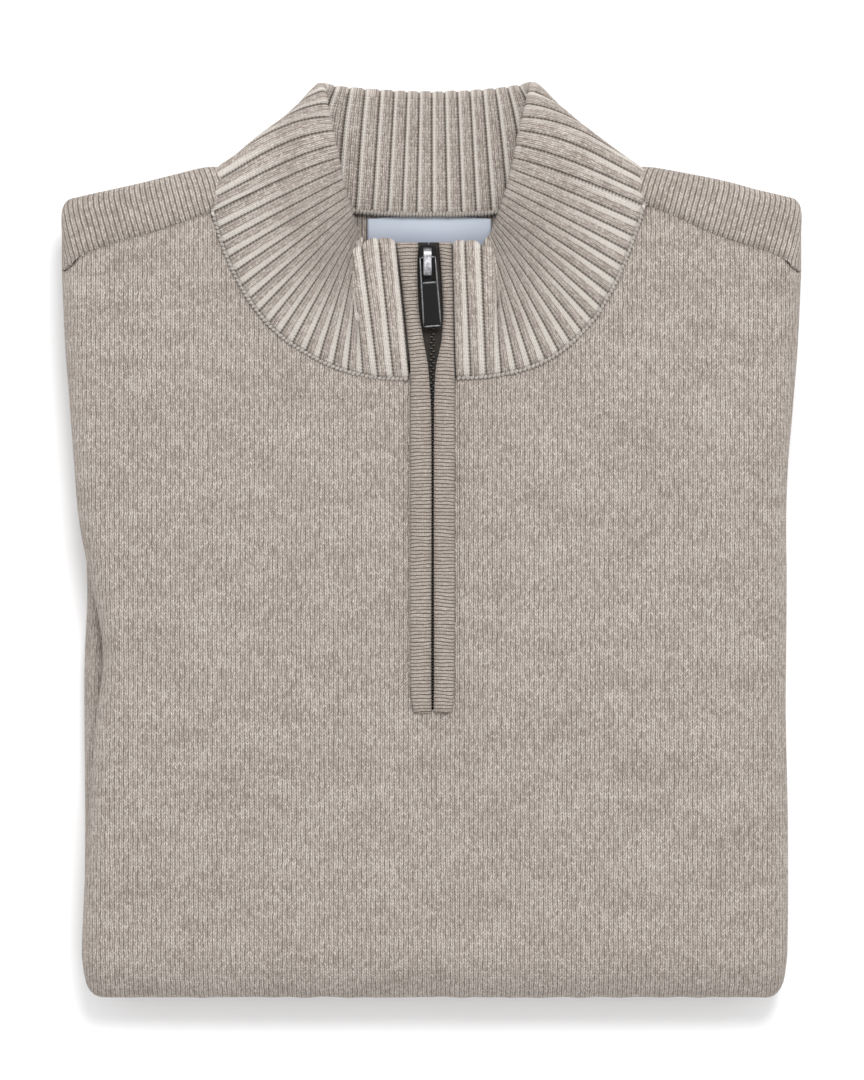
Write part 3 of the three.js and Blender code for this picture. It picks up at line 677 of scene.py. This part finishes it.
COLLAR_TOP = [
    Rib(0, 9.4, 135, 47), Rib(1.6, 19, 135, 48.5), Rib(2.4, 25, 132, 48.5),
    Rib(3.4, 24.6, 135, 45), Rib(6, 26.5, 139, 46), Rib(9, 28, 143.5, 47.4),
    Rib(12, 30, 149, 48), Rib(15, 33, 158.5, 48), Rib(18, 36, 172, 47.6),
    Rib(20, 38.2, 184, 46.8), Rib(22, 41.2, 196, 45), Rib(23.2, 43.4, 203, 42.5),
    Rib(24, 44, 206, 39.5), Rib(25, 39.5, 205.2, 36.8), Rib(28.5, 20, 203.4, 36),
    Rib(32, 0, 202.6, 36), Rib(35.5, -20, 203.2, 36), Rib(39, -43.5, 204.8, 36.8),
    Rib(40, -48, 205.4, 39.5), Rib(40.8, -47.4, 202.6, 42.5), Rib(42, -45.6, 196, 45),
    Rib(44, -43.2, 184, 46.8), Rib(46, -41, 172, 47.6),
    Rib(49, -38, 158.5, 48), Rib(52, -35.5, 149, 48), Rib(55, -34, 143.5, 47.4),
    Rib(58, -33, 139, 46), Rib(60.6, -32, 135.5, 45), Rib(61.6, -33.4, 132, 48.5),
    Rib(62.6, -27, 136, 48.5), Rib(64, -16.3, 136, 47),
]


def neck_rows(points, inwards):
    """The neck seam as rows by length, moved half a millimetre to the collar's side."""
    rows, length = [], 0.0
    for i, point in enumerate(points):
        before, after = points[max(i - 1, 0)], points[min(i + 1, len(points) - 1)]
        length += math.dist(points[i - 1], point) if i else 0
        along = Vector((after.x - before.x, after.y - before.y)).normalized()
        x, y = point.x - inwards * along.y * 0.5, point.y + inwards * along.x * 0.5
        rows.append(Rib(length, x, y, COLLAR_HEIGHT))
    return [Rib(row.rib / length * FRONT_RIBS, row.x, row.y, row.z) for row in rows]


RIGHT_BASE = neck_rows(RIGHT_NECK, 1)
LEFT_BASE = neck_rows(LEFT_NECK, -1)


@functools.lru_cache(maxsize=None)
def collar_ends(rib):
    """The collar's base and top at a rib, how it swells between them, and if it is in front."""
    from_zip = min(rib, RIBS - rib)
    rows, at = BACK_BASE, rib
    if from_zip < FRONT_RIBS:
        rows, at = (RIGHT_BASE if rib < RIBS / 2 else LEFT_BASE), from_zip
    base = Vector([read_curve(rows, "rib", axis, at) for axis in "xyz"])
    top = Vector([read_curve(COLLAR_TOP, "rib", axis, rib) for axis in "xyz"])
    fold = SIDE_FOLDS[0] if rib < RIBS / 2 else SIDE_FOLDS[1]
    side = 1 if rib < RIBS / 2 else -1
    bulge = SIDE_BULGE * bell(rib - fold, 3.2)
    front = smooth(abs(rib - RIBS / 2), RIBS / 2 - SIDE_FOLDS[0] - 3, RIBS / 2 - SIDE_FOLDS[0] + 3)
    swell = Vector((side * 0.62 * bulge, 0.78 * bulge, mix(-BACK_SAG, FRONT_LIFT, front)))
    return base, top, swell, front


def collar_middle(rib, up):
    """The middle of the collar's two layers, from its base, 0, to its top, 1."""
    base, top, swell, _ = collar_ends(round(rib, 3))
    lift, spread = 4 * up * (1 - up), 4 * up**1.5 * (1 - up**1.5)
    return base.lerp(top, up) + Vector((swell.x * spread, swell.y * spread, swell.z * lift))


def rib_profile(rib):
    """Height of the ribs: a narrow valley at each whole number and three low wales between."""
    part = rib % 1
    valley = bell(min(part, 1 - part), 0.1)
    return 1 - valley - 0.1 * bell(part - 0.36, 0.05) - 0.1 * bell(part - 0.64, 0.05)


def collar_point(rib, up, angle):
    """A point on the collar's skin; angle turns from the outside, 90 degrees, to the inside."""
    small = 0.02
    along = collar_middle(min(rib + small, RIBS), up) - collar_middle(max(rib - small, 0), up)
    rise = collar_middle(rib, min(up + small, 1)) - collar_middle(rib, max(up - small, 0))
    outwards = along.cross(rise).normalized()
    uneven = 0.25 * noise.noise(Vector((math.floor(rib) * 3.1, up * 2.5, angle)))
    edge = smooth(min(rib, RIBS - rib), 0, 0.3)
    half = COLLAR_HALF + RIB_RELIEF * (rib_profile(rib) + uneven)
    half *= (0.62 + 0.38 * smooth(up, 0, 0.12)) * mix(0.6, 1, edge)
    wander = 0.5 * noise.noise(Vector((rib / 4, up * 3, 1)))
    return (collar_middle(rib, up) + outwards * (half * math.sin(angle) + wander)
            + rise.normalized() * half * math.cos(angle))


def collar_shape(u, v):
    rib = u * RIBS
    turn_share = 0.07
    fold_up = 1 - (COLLAR_HALF + RIB_RELIEF) / COLLAR_SPAN
    if v < 0.5 - turn_share:
        t = v / (0.5 - turn_share)
        up, angle, travel = fold_up * t, math.pi / 2, COLLAR_SPAN * t
    elif v > 0.5 + turn_share:
        t = (1 - v) / (0.5 - turn_share)
        up, angle, travel = fold_up * t, -math.pi / 2, 2 * COLLAR_SPAN - COLLAR_SPAN * t
    else:
        t = (v - 0.5) / turn_share
        up, angle, travel = fold_up, -math.pi / 2 * t, COLLAR_SPAN
    return collar_point(rib, up, angle), (rib * WALES_PER_RIB, travel / COURSE)


def paleness(rib, up):
    """How much of the off-white yarn shows: on the front it fades out up the collar."""
    front = collar_ends(round(rib, 3))[3]
    in_strip = 1 - smooth(min(rib, RIBS - rib), 2.6, 3.2)
    on_front = mix(1, 0.14, smooth(up, 0.1, 0.8))
    return mix(1.4, max(on_front, 0.9 * in_strip), front)


bm = cloth_grid(RIBS * STEPS_PER_RIB, 58, collar_shape)
uv = bm.loops.layers.uv["knit"]
pale_layer = bm.verts.layers.float.new("pale")
wide_layer = bm.verts.layers.float.new("wide")
for vert in bm.verts:
    stitch = vert.link_loops[0][uv].uv
    rib = stitch.x / WALES_PER_RIB
    up = 1 - abs(stitch.y * COURSE / COLLAR_SPAN - 1)
    vert[pale_layer] = paleness(rib, up)
    vert[wide_layer] = collar_ends(round(rib, 3))[3] * (1 - 0.6 * smooth(up, 0.1, 0.7))
collar = finish_mesh(bm, "collar_band")


def attribute(tree, name):
    node = tree.nodes.new("ShaderNodeAttribute")
    node.attribute_name = name
    return node.outputs["Fac"]


knit = knit_stitches("collar rib", 0.5)
tree = knit.tree
rib_number = calc(tree, "DIVIDE", knit.wale, WALES_PER_RIB)
from_pale = calc(tree, "ABSOLUTE", calc(tree, "SUBTRACT", calc(tree, "FRACT", rib_number), PALE_AT))
pale_half = calc(tree, "MULTIPLY_ADD", attribute(tree, "wide"), 0.13, 0.08)
band = ramp(tree, calc(tree, "SUBTRACT", from_pale, pale_half), -0.03, 0.06)
band = calc(tree, "SUBTRACT", 1.0, band)
uneven = calc(tree, "MULTIPLY_ADD", knit.fibre, 2.2, -0.15)
band = calc(tree, "MULTIPLY", calc(tree, "MULTIPLY", band, attribute(tree, "pale")), uneven)
between_legs = calc(tree, "SUBTRACT", 1.0, ramp(tree, knit.height, 0.0, 0.5))
pale_rib = blend_colours(tree, calc(tree, "MULTIPLY", between_legs, 0.3), PALE, TAUPE)
band = calc(tree, "MINIMUM", band, 0.95)
collar_colour = blend_colours(tree, band, heather(knit, 1.05, 0.55), pale_rib)
# Painted shade: the valleys between the ribs are darkened, a little unevenly from course to course.
valley = ramp(tree, calc(tree, "PINGPONG", rib_number, 0.5), 0.02, 0.14)
valley = calc(tree, "SUBTRACT", 1.0, valley)
ladder = calc(tree, "SINE", calc(tree, "MULTIPLY", knit.course, 2 * math.pi))
ladder = calc(tree, "MULTIPLY_ADD", ladder, 0.2, 0.8)
valley = calc(tree, "MULTIPLY", valley, ladder)
collar_colour = blend_colours(tree, valley, collar_colour, TAUPE_PAINTED_SHADE)
finish_knit(knit, collar_colour)

collar.data.materials.append(knit.material)
give_wall(collar, COLLAR_CLOTH)
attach(collar, "garment")
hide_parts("collar")

# Neck linking.
# The chain of small loops that joins the collar to the neck edge. It is seen on the outside of
# the front halves and, above the label, on the inside of the back.
LOOP = 1.9
LOOP_RADIUS = 0.95


def chain_shape(path, radius, length):
    """A cord of small loops along path(t), which gives its middle and its upward direction."""
    def shape(u, v):
        middle, up = path(u)
        ahead = path(min(u + 0.002, 1))[0] - path(max(u - 0.002, 0))[0]
        side = ahead.cross(up).normalized()
        angle = v * 2 * math.pi
        loops = u * length / LOOP
        uneven = 0.2 * noise.noise(Vector((loops / 2, 0, 4)))
        size = radius * (0.55 + uneven + 0.5 * abs(math.sin(math.pi * loops)))
        sway = 0.22 * math.sin(2 * math.pi * loops)
        place = middle + side * (math.cos(angle) * size + sway) + up * math.sin(angle) * size
        return place, (loops * 2, v * 3)
    return shape


def seam_path(first, last, face):
    def path(t):
        rib = mix(first, last, t)
        small = 0.03
        along = collar_middle(min(rib + small, RIBS), 0) - collar_middle(max(rib - small, 0), 0)
        rise = collar_middle(rib, 0.02) - collar_middle(rib, 0)
        outwards = along.cross(rise).normalized() * face
        return collar_middle(rib, 0) + outwards * 1.0 - rise.normalized() * 0.5, outwards
    return path


knit = knit_stitches("linking yarn", 0.4)
tree = knit.tree
# Painted shade: the eye of each loop is darkened.
loop_eye_shade = ramp(tree, calc(tree, "PINGPONG", knit.wale, 1.0), 0.05, 0.4)
loop_eye_shade = calc(tree, "MULTIPLY", calc(tree, "SUBTRACT", 1.0, loop_eye_shade), 0.6)
linking_colour = blend_colours(tree, 0.45, heather(knit, 1.1, 0.4), PALE)
linking_colour = blend_colours(tree, loop_eye_shade, linking_colour, TAUPE_PAINTED_SHADE)
finish_knit(knit, linking_colour)
linking = finish_mesh(join_grids([
    cloth_grid(560, 10, chain_shape(seam_path(0.1, 18.4, 1), LOOP_RADIUS, length=122)),
    cloth_grid(560, 10, chain_shape(seam_path(63.9, 45.6, 1), LOOP_RADIUS, length=124)),
    cloth_grid(600, 10, chain_shape(seam_path(24.5, 39.5, -1), LOOP_RADIUS * 1.5, length=130)),
]), "neck_linking")
linking.data.materials.append(knit.material)
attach(linking, "garment")

# Zip facings.
# Two narrow strips of knit, rolled into cords beside the zip, so that their wales run across.
Zip = namedtuple("Zip", "y outer_left inner_left inner_right outer_right")
ZIP_ROWS = [
    Zip(-78, -8.2, 0.1, 0.8, 9.3), Zip(-64, -9.6, -0.1, 1, 10.3), Zip(54, -9.6, -0.1, 1, 10.4),
    Zip(77, -9.7, -1.4, 1.8, 10.4), Zip(90, -11, -3.6, 4.4, 10.3), Zip(103, -12.4, -5.6, 5, 10.3),
    Zip(121, -14.4, -6.3, 4.2, 10), Zip(134, -16.4, -5.8, 3.2, 9.2),
]
ZIP_LOW, ZIP_HIGH = -78.0, 134.0
FACING_UNDER = 43.7
FACING_BELLY = 1.5
FACING_RISE = 3.6
RIDGE = 1.58
RIDGE_DEPTH = 0.42
FACING_CLOTH = 0.8
FACING_END = 3.2


def facing_shape(inner, outer, seed):
    """A rolled strip with ridges across it and rounded ends."""
    def shape(u, v):
        y = mix(ZIP_LOW, ZIP_HIGH, v)
        low, high = read_curve(ZIP_ROWS, "y", inner, y), read_curve(ZIP_ROWS, "y", outer, y)
        from_end = min(min(y - ZIP_LOW, ZIP_HIGH - y) / FACING_END, 1)
        size = 0.12 + 0.88 * math.sqrt(1 - (1 - from_end) ** 2)
        angle = u * 2 * math.pi
        out, up = -math.cos(angle), math.sin(angle)
        on_top = max(up, 0)
        ridges = y / RIDGE + 0.35 * noise.noise(Vector((y / 5, u * 4, seed))) + 0.12 * out
        crest = abs(math.sin(math.pi * ridges)) ** 0.7
        relief = RIDGE_DEPTH * (crest - 1) + 0.3 * noise.noise(Vector((y / 3.1, 0, seed + 4)))
        middle, half = (low + high) / 2, (high - low) / 2
        x = middle + out * half * mix(0.9, 1, size) * (1 + relief * 0.12 * on_top**0.3)
        belly = FACING_BELLY * (1 + min(up, 0))
        z = FACING_UNDER + belly + (FACING_RISE * size + relief) * on_top**0.75
        return (x, y, z), (ridges, (1 - out) * 4)
    return shape


knit = knit_stitches("facing knit", 0.6)
tree = knit.tree
# Painted shade: the furrows between the ridges are darkened.
between = ramp(tree, calc(tree, "PINGPONG", knit.wale, 0.5), 0.04, 0.24)
between = calc(tree, "MULTIPLY", calc(tree, "SUBTRACT", 1.0, between), 0.92)
facing_colour = blend_colours(tree, between, heather(knit, 0.6, 0.5), TAUPE_PAINTED_SHADE)
finish_knit(knit, facing_colour, bump=0.6)
facing_knit = knit.material

for name, seed in (("left", 11), ("right", 23)):
    bm = cloth_grid(28, 800, facing_shape("inner_" + name, "outer_" + name, seed))
    bmesh.ops.remove_doubles(bm, verts=bm.verts, dist=0.00001)
    if name == "left":
        bmesh.ops.reverse_faces(bm, faces=bm.faces)
    facing = finish_mesh(bm, "facing_" + name)
    facing.data.materials.append(facing_knit)
    give_wall(facing, FACING_CLOTH)
    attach(facing, "garment")
    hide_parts("placket_" + name)

# Zip tapes and teeth.
# Dark woven tape under the facings, and a coil of fine dark teeth along its two inner edges.
TOOTH_PITCH = 1.3
TOOTH = (1.7, 0.75, 1.2)
TOOTH_Z = 43.9
TOOTH_OFF = 0.55
SLIDER_END = 116.0

tape_paint, tree, shader = new_material("dark tape")
place = tree.nodes.new("ShaderNodeTexCoord").outputs["Object"]
weave = tree.nodes.new("ShaderNodeTexChecker")
weave.inputs["Scale"].default_value = 2600
weave.inputs["Color1"].default_value = (0.030, 0.024, 0.020, 1)
weave.inputs["Color2"].default_value = (0.014, 0.011, 0.009, 1)
tree.links.new(place, weave.inputs["Vector"])
tree.links.new(weave.outputs["Color"], shader.inputs["Base Color"])
shader.inputs["Roughness"].default_value = 0.85
tape_bump = tree.nodes.new("ShaderNodeBump")
tape_bump.inputs["Strength"].default_value = 0.5
tape_bump.inputs["Distance"].default_value = 0.0002
tree.links.new(weave.outputs["Fac"], tape_bump.inputs["Height"])
tree.links.new(tape_bump.outputs["Normal"], shader.inputs["Normal"])
for node_name in ("zip_tape_left", "zip_tape_right"):
    for slot in bpy.data.objects[node_name].material_slots:
        slot.material = tape_paint


def worn_metal(name, base, rough):
    """Metal whose paler worn spots are also rougher."""
    material, tree, shader = new_material(name)
    place = tree.nodes.new("ShaderNodeTexCoord").outputs["Object"]
    worn = noise_value(tree, place, 900, 4, 0.6)
    bare = tuple(channel * 1.9 + 0.01 for channel in base)
    colour = blend_colours(tree, ramp(tree, worn, 0.35, 0.8), base, bare)
    tree.links.new(colour, shader.inputs["Base Color"])
    tree.links.new(calc(tree, "MULTIPLY_ADD", worn, 0.2, rough), shader.inputs["Roughness"])
    shader.inputs["Metallic"].default_value = 1.0
    return material


bm = bmesh.new()
for i in range(int((SLIDER_END - ZIP_LOW - 4) / TOOTH_PITCH)):
    y = ZIP_LOW + 3 + i * TOOTH_PITCH
    left, right = (read_curve(ZIP_ROWS, "y", edge, y) for edge in ("inner_left", "inner_right"))
    middle = (left + right) / 2
    side = 1 if i % 2 else -1
    scale = Matrix.Diagonal((TOOTH[0] * MM, TOOTH[1] * MM, TOOTH[2] * MM, 1))
    shift = Matrix.Translation(Vector((middle + side * TOOTH_OFF, y, TOOTH_Z)) * MM)
    bmesh.ops.create_cube(bm, size=1, matrix=shift @ scale)
teeth = finish_mesh(bm, "zip_teeth")
teeth.data.materials.append(worn_metal("dark teeth", (0.045, 0.04, 0.036), 0.35))
round_off = teeth.modifiers.new("rounding", "BEVEL")
round_off.width = 0.0002
round_off.segments = 2
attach(teeth, "garment")

# Zip slider.
# A waisted black body that runs on the teeth, with a bright bridge bent over it.
SLIDER_X = -1.6
SLIDER_TOP = 133.0
SLIDER_LENGTH = 18.0
SLIDER_WIDTH = 8.0
SLIDER_UNDER = 43.6
SLIDER_THICK = 4.0
BRIDGE_X = -1.8
BRIDGE_WIDTH = 3.8
BRIDGE_THICK = 1.1
Waist = namedtuple("Waist", "at half")
SLIDER_WAIST = [
    Waist(0, 0.62), Waist(0.04, 0.78), Waist(0.15, 0.94), Waist(0.3, 1), Waist(0.5, 0.93),
    Waist(0.75, 0.72), Waist(0.95, 0.5), Waist(1, 0.42),
]
Bend = namedtuple("Bend", "at y z")
BRIDGE_LINE = [
    Bend(0, 130.6, 47.0), Bend(0.12, 130.9, 49.2), Bend(0.24, 129.6, 51.0), Bend(0.4, 126.8, 51.3),
    Bend(0.8, 120.9, 51.3), Bend(0.9, 119.2, 50.6), Bend(1, 119.0, 47.0),
]


def slider_shape(u, v):
    half = SLIDER_WIDTH / 2 * read_curve(SLIDER_WAIST, "at", "half", 1 - v)
    y = SLIDER_TOP - SLIDER_LENGTH * (1 - v)
    return (SLIDER_X + (u * 2 - 1) * half, y, SLIDER_UNDER + SLIDER_THICK), (u, v)


def bridge_shape(u, v):
    half = BRIDGE_WIDTH / 2 * (1 - 0.12 * smooth(abs(v - 0.5), 0.3, 0.5))
    y, z = read_curve(BRIDGE_LINE, "at", "y", v), read_curve(BRIDGE_LINE, "at", "z", v)
    return (BRIDGE_X + (u * 2 - 1) * half, y, z), (u, v)


def bevel_edges(piece, width, segments=3):
    bevel = piece.modifiers.new("edges", "BEVEL")
    bevel.width = width * MM
    bevel.segments = segments
    bevel.limit_method = "ANGLE"
    bevel.angle_limit = math.radians(50)


black_lacquer, tree, shader = new_material("black lacquer")
place = tree.nodes.new("ShaderNodeTexCoord").outputs["Object"]
brushed = tree.nodes.new("ShaderNodeMapping")
brushed.inputs["Scale"].default_value = (700, 9000, 700)
tree.links.new(place, brushed.inputs["Vector"])
hair = noise_value(tree, brushed.outputs["Vector"], 1.0, 3, 0.6)
lacquer_colour = blend_colours(tree, hair, (0.003, 0.003, 0.003), (0.009, 0.009, 0.010))
tree.links.new(lacquer_colour, shader.inputs["Base Color"])
tree.links.new(calc(tree, "MULTIPLY_ADD", hair, 0.16, 0.26), shader.inputs["Roughness"])
shader.inputs["Specular IOR Level"].default_value = 0.1
bright_metal = worn_metal("worn steel", (0.22, 0.22, 0.23), 0.22)
dark_steel = worn_metal("dark steel", (0.10, 0.10, 0.103), 0.3)

slider = finish_mesh(cloth_grid(14, 28, slider_shape), "slider_body")
slider.data.materials.append(black_lacquer)
give_wall(slider, SLIDER_THICK)
bevel_edges(slider, 0.7)
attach(slider, "garment")
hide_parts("slider")

bridge = finish_mesh(cloth_grid(6, 40, bridge_shape), "slider_bridge")
bridge.data.materials.append(bright_metal)
bridge_wall = bridge.modifiers.new("wall", "SOLIDIFY")
bridge_wall.thickness = BRIDGE_THICK * MM
bridge_wall.offset = 0
bevel_edges(bridge, 0.3)
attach(bridge, "garment")

# Pull tab.
# A black enamelled panel in a thin steel frame. The window above the panel goes round the
# slider's bridge, and the frame's top bar is the pin it swings on. The panel is bare.
TAB_TILT = math.radians(4)
TAB_HINGE = (-1.8, 127.0, 49.6)
TAB_WINDOW = 11.4
TAB_END = TAB_WINDOW + 19.6
TAB_TOP_HALF = 3.4
TAB_LOW_HALF = 3.85
FRAME_RADIUS = 0.42
FRAME_TALL = 1.45
PANEL_TOP = 0.42
PANEL_THICK = 0.9


def tab_place(x, y, z):
    """A place on the tab, turned with it and moved to its hinge."""
    return Matrix.Rotation(TAB_TILT, 3, "Z") @ Vector((x, y, z)) + Vector(TAB_HINGE)


def panel_shape(u, v):
    y = mix(0.3 - TAB_END, -TAB_WINDOW, v)
    half = mix(TAB_TOP_HALF, TAB_LOW_HALF, -y / TAB_END)
    return tab_place((u * 2 - 1) * half, y, PANEL_TOP), (u, v)


def bar_shape(first, last, radius):
    """A bar of the tab's frame, rounded at both ends."""
    first, last = Vector(first), Vector(last)
    side = (last - first).normalized().cross(Vector((0, 0, 1)))

    def shape(u, v):
        angle = v * 2 * math.pi
        cos, sin = math.cos(angle), math.sin(angle)
        square = max(abs(cos), abs(sin)) ** 0.7
        size = radius / square * math.sqrt(max(1 - abs(u * 2 - 1) ** 8, 0.02))
        place = first.lerp(last, u) + side * cos * size + Vector((0, 0, FRAME_TALL)) * sin * size
        return tab_place(*place), (u, v)
    return shape


panel = finish_mesh(cloth_grid(8, 20, panel_shape), "tab_panel")
panel.data.materials.append(black_lacquer)
give_wall(panel, PANEL_THICK)
bevel_edges(panel, 0.15, 2)
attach(panel, "pull_tab")
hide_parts("pull_tab")

bars = [
    ((-TAB_TOP_HALF, 0.3, 0), (-TAB_LOW_HALF, -TAB_END, 0)),
    ((TAB_TOP_HALF, 0.3, 0), (TAB_LOW_HALF, -TAB_END, 0)),
    ((-TAB_TOP_HALF, 0, 0), (TAB_TOP_HALF, 0, 0)),
    ((-TAB_TOP_HALF, -TAB_WINDOW, 0), (TAB_TOP_HALF, -TAB_WINDOW, 0)),
    ((-TAB_LOW_HALF, -TAB_END, 0), (TAB_LOW_HALF, -TAB_END, 0)),
]
bm = join_grids([cloth_grid(16, 16, bar_shape(first, last, FRAME_RADIUS)) for first, last in bars])
bmesh.ops.remove_doubles(bm, verts=bm.verts, dist=0.000001)
tab_frame = finish_mesh(bm, "tab_frame")
tab_frame.data.materials.append(dark_steel)
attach(tab_frame, "pull_tab")

# Label.
# Pale blue satin, sewn in below the linking at the back of the neck. Nothing is printed on it.
LABEL_HALF = 28.0
LABEL_X = -1.0
LABEL_LOW = 126.0
LABEL_HIGH = 145.2
LABEL_ARCH = 1.4
LABEL_TOP = 31.4
LABEL_THICK = 0.5
# The first two satin colours are painted shade low on the label and painted sheen high on it.
SATIN_PAINTED_SHADE = (0.28, 0.31, 0.38)
SATIN_PAINTED_SHEEN = (0.48, 0.53, 0.61)
SATIN_THREAD = (0.27, 0.30, 0.37)


def label_shape(u, v):
    side = u * 2 - 1
    y = mix(LABEL_LOW, LABEL_HIGH + LABEL_ARCH * (1 - side * side), v)
    dip = 0.35 * side * side + 0.9 * (1 - v) ** 2
    z = LABEL_TOP - dip + 0.25 * math.sin(side * 5 + v * 2) * (1 - v)
    return (LABEL_X + side * LABEL_HALF, y, z), (side * 140, v * 96)


satin, tree, shader = new_material("pale satin")
source = tree.nodes.new("ShaderNodeUVMap")
source.uv_map = "knit"
thread = noise_value(tree, source.outputs["UV"], 0.9, 3, 0.6)
split = tree.nodes.new("ShaderNodeSeparateXYZ")
tree.links.new(source.outputs["UV"], split.inputs[0])
# Painted sheen and shade: the satin is lighter towards its top and darker towards its bottom.
sheen_upwards = ramp(tree, split.outputs[1], 25.0, 90.0)
satin_colour = blend_colours(tree, sheen_upwards, SATIN_PAINTED_SHADE, SATIN_PAINTED_SHEEN)
satin_colour = blend_colours(tree, calc(tree, "MULTIPLY", thread, 0.3), satin_colour, SATIN_THREAD)
tree.links.new(satin_colour, shader.inputs["Base Color"])
shader.inputs["Roughness"].default_value = 0.38
shader.inputs["Sheen Weight"].default_value = 0.3
satin_bump = tree.nodes.new("ShaderNodeBump")
satin_bump.inputs["Strength"].default_value = 0.25
satin_bump.inputs["Distance"].default_value = 0.00015
tree.links.new(thread, satin_bump.inputs["Height"])
tree.links.new(satin_bump.outputs["Normal"], shader.inputs["Normal"])

label = finish_mesh(cloth_grid(60, 24, label_shape), "neck_label")
label.data.materials.append(satin)
give_wall(label, LABEL_THICK)
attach(label, "garment")
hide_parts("label")
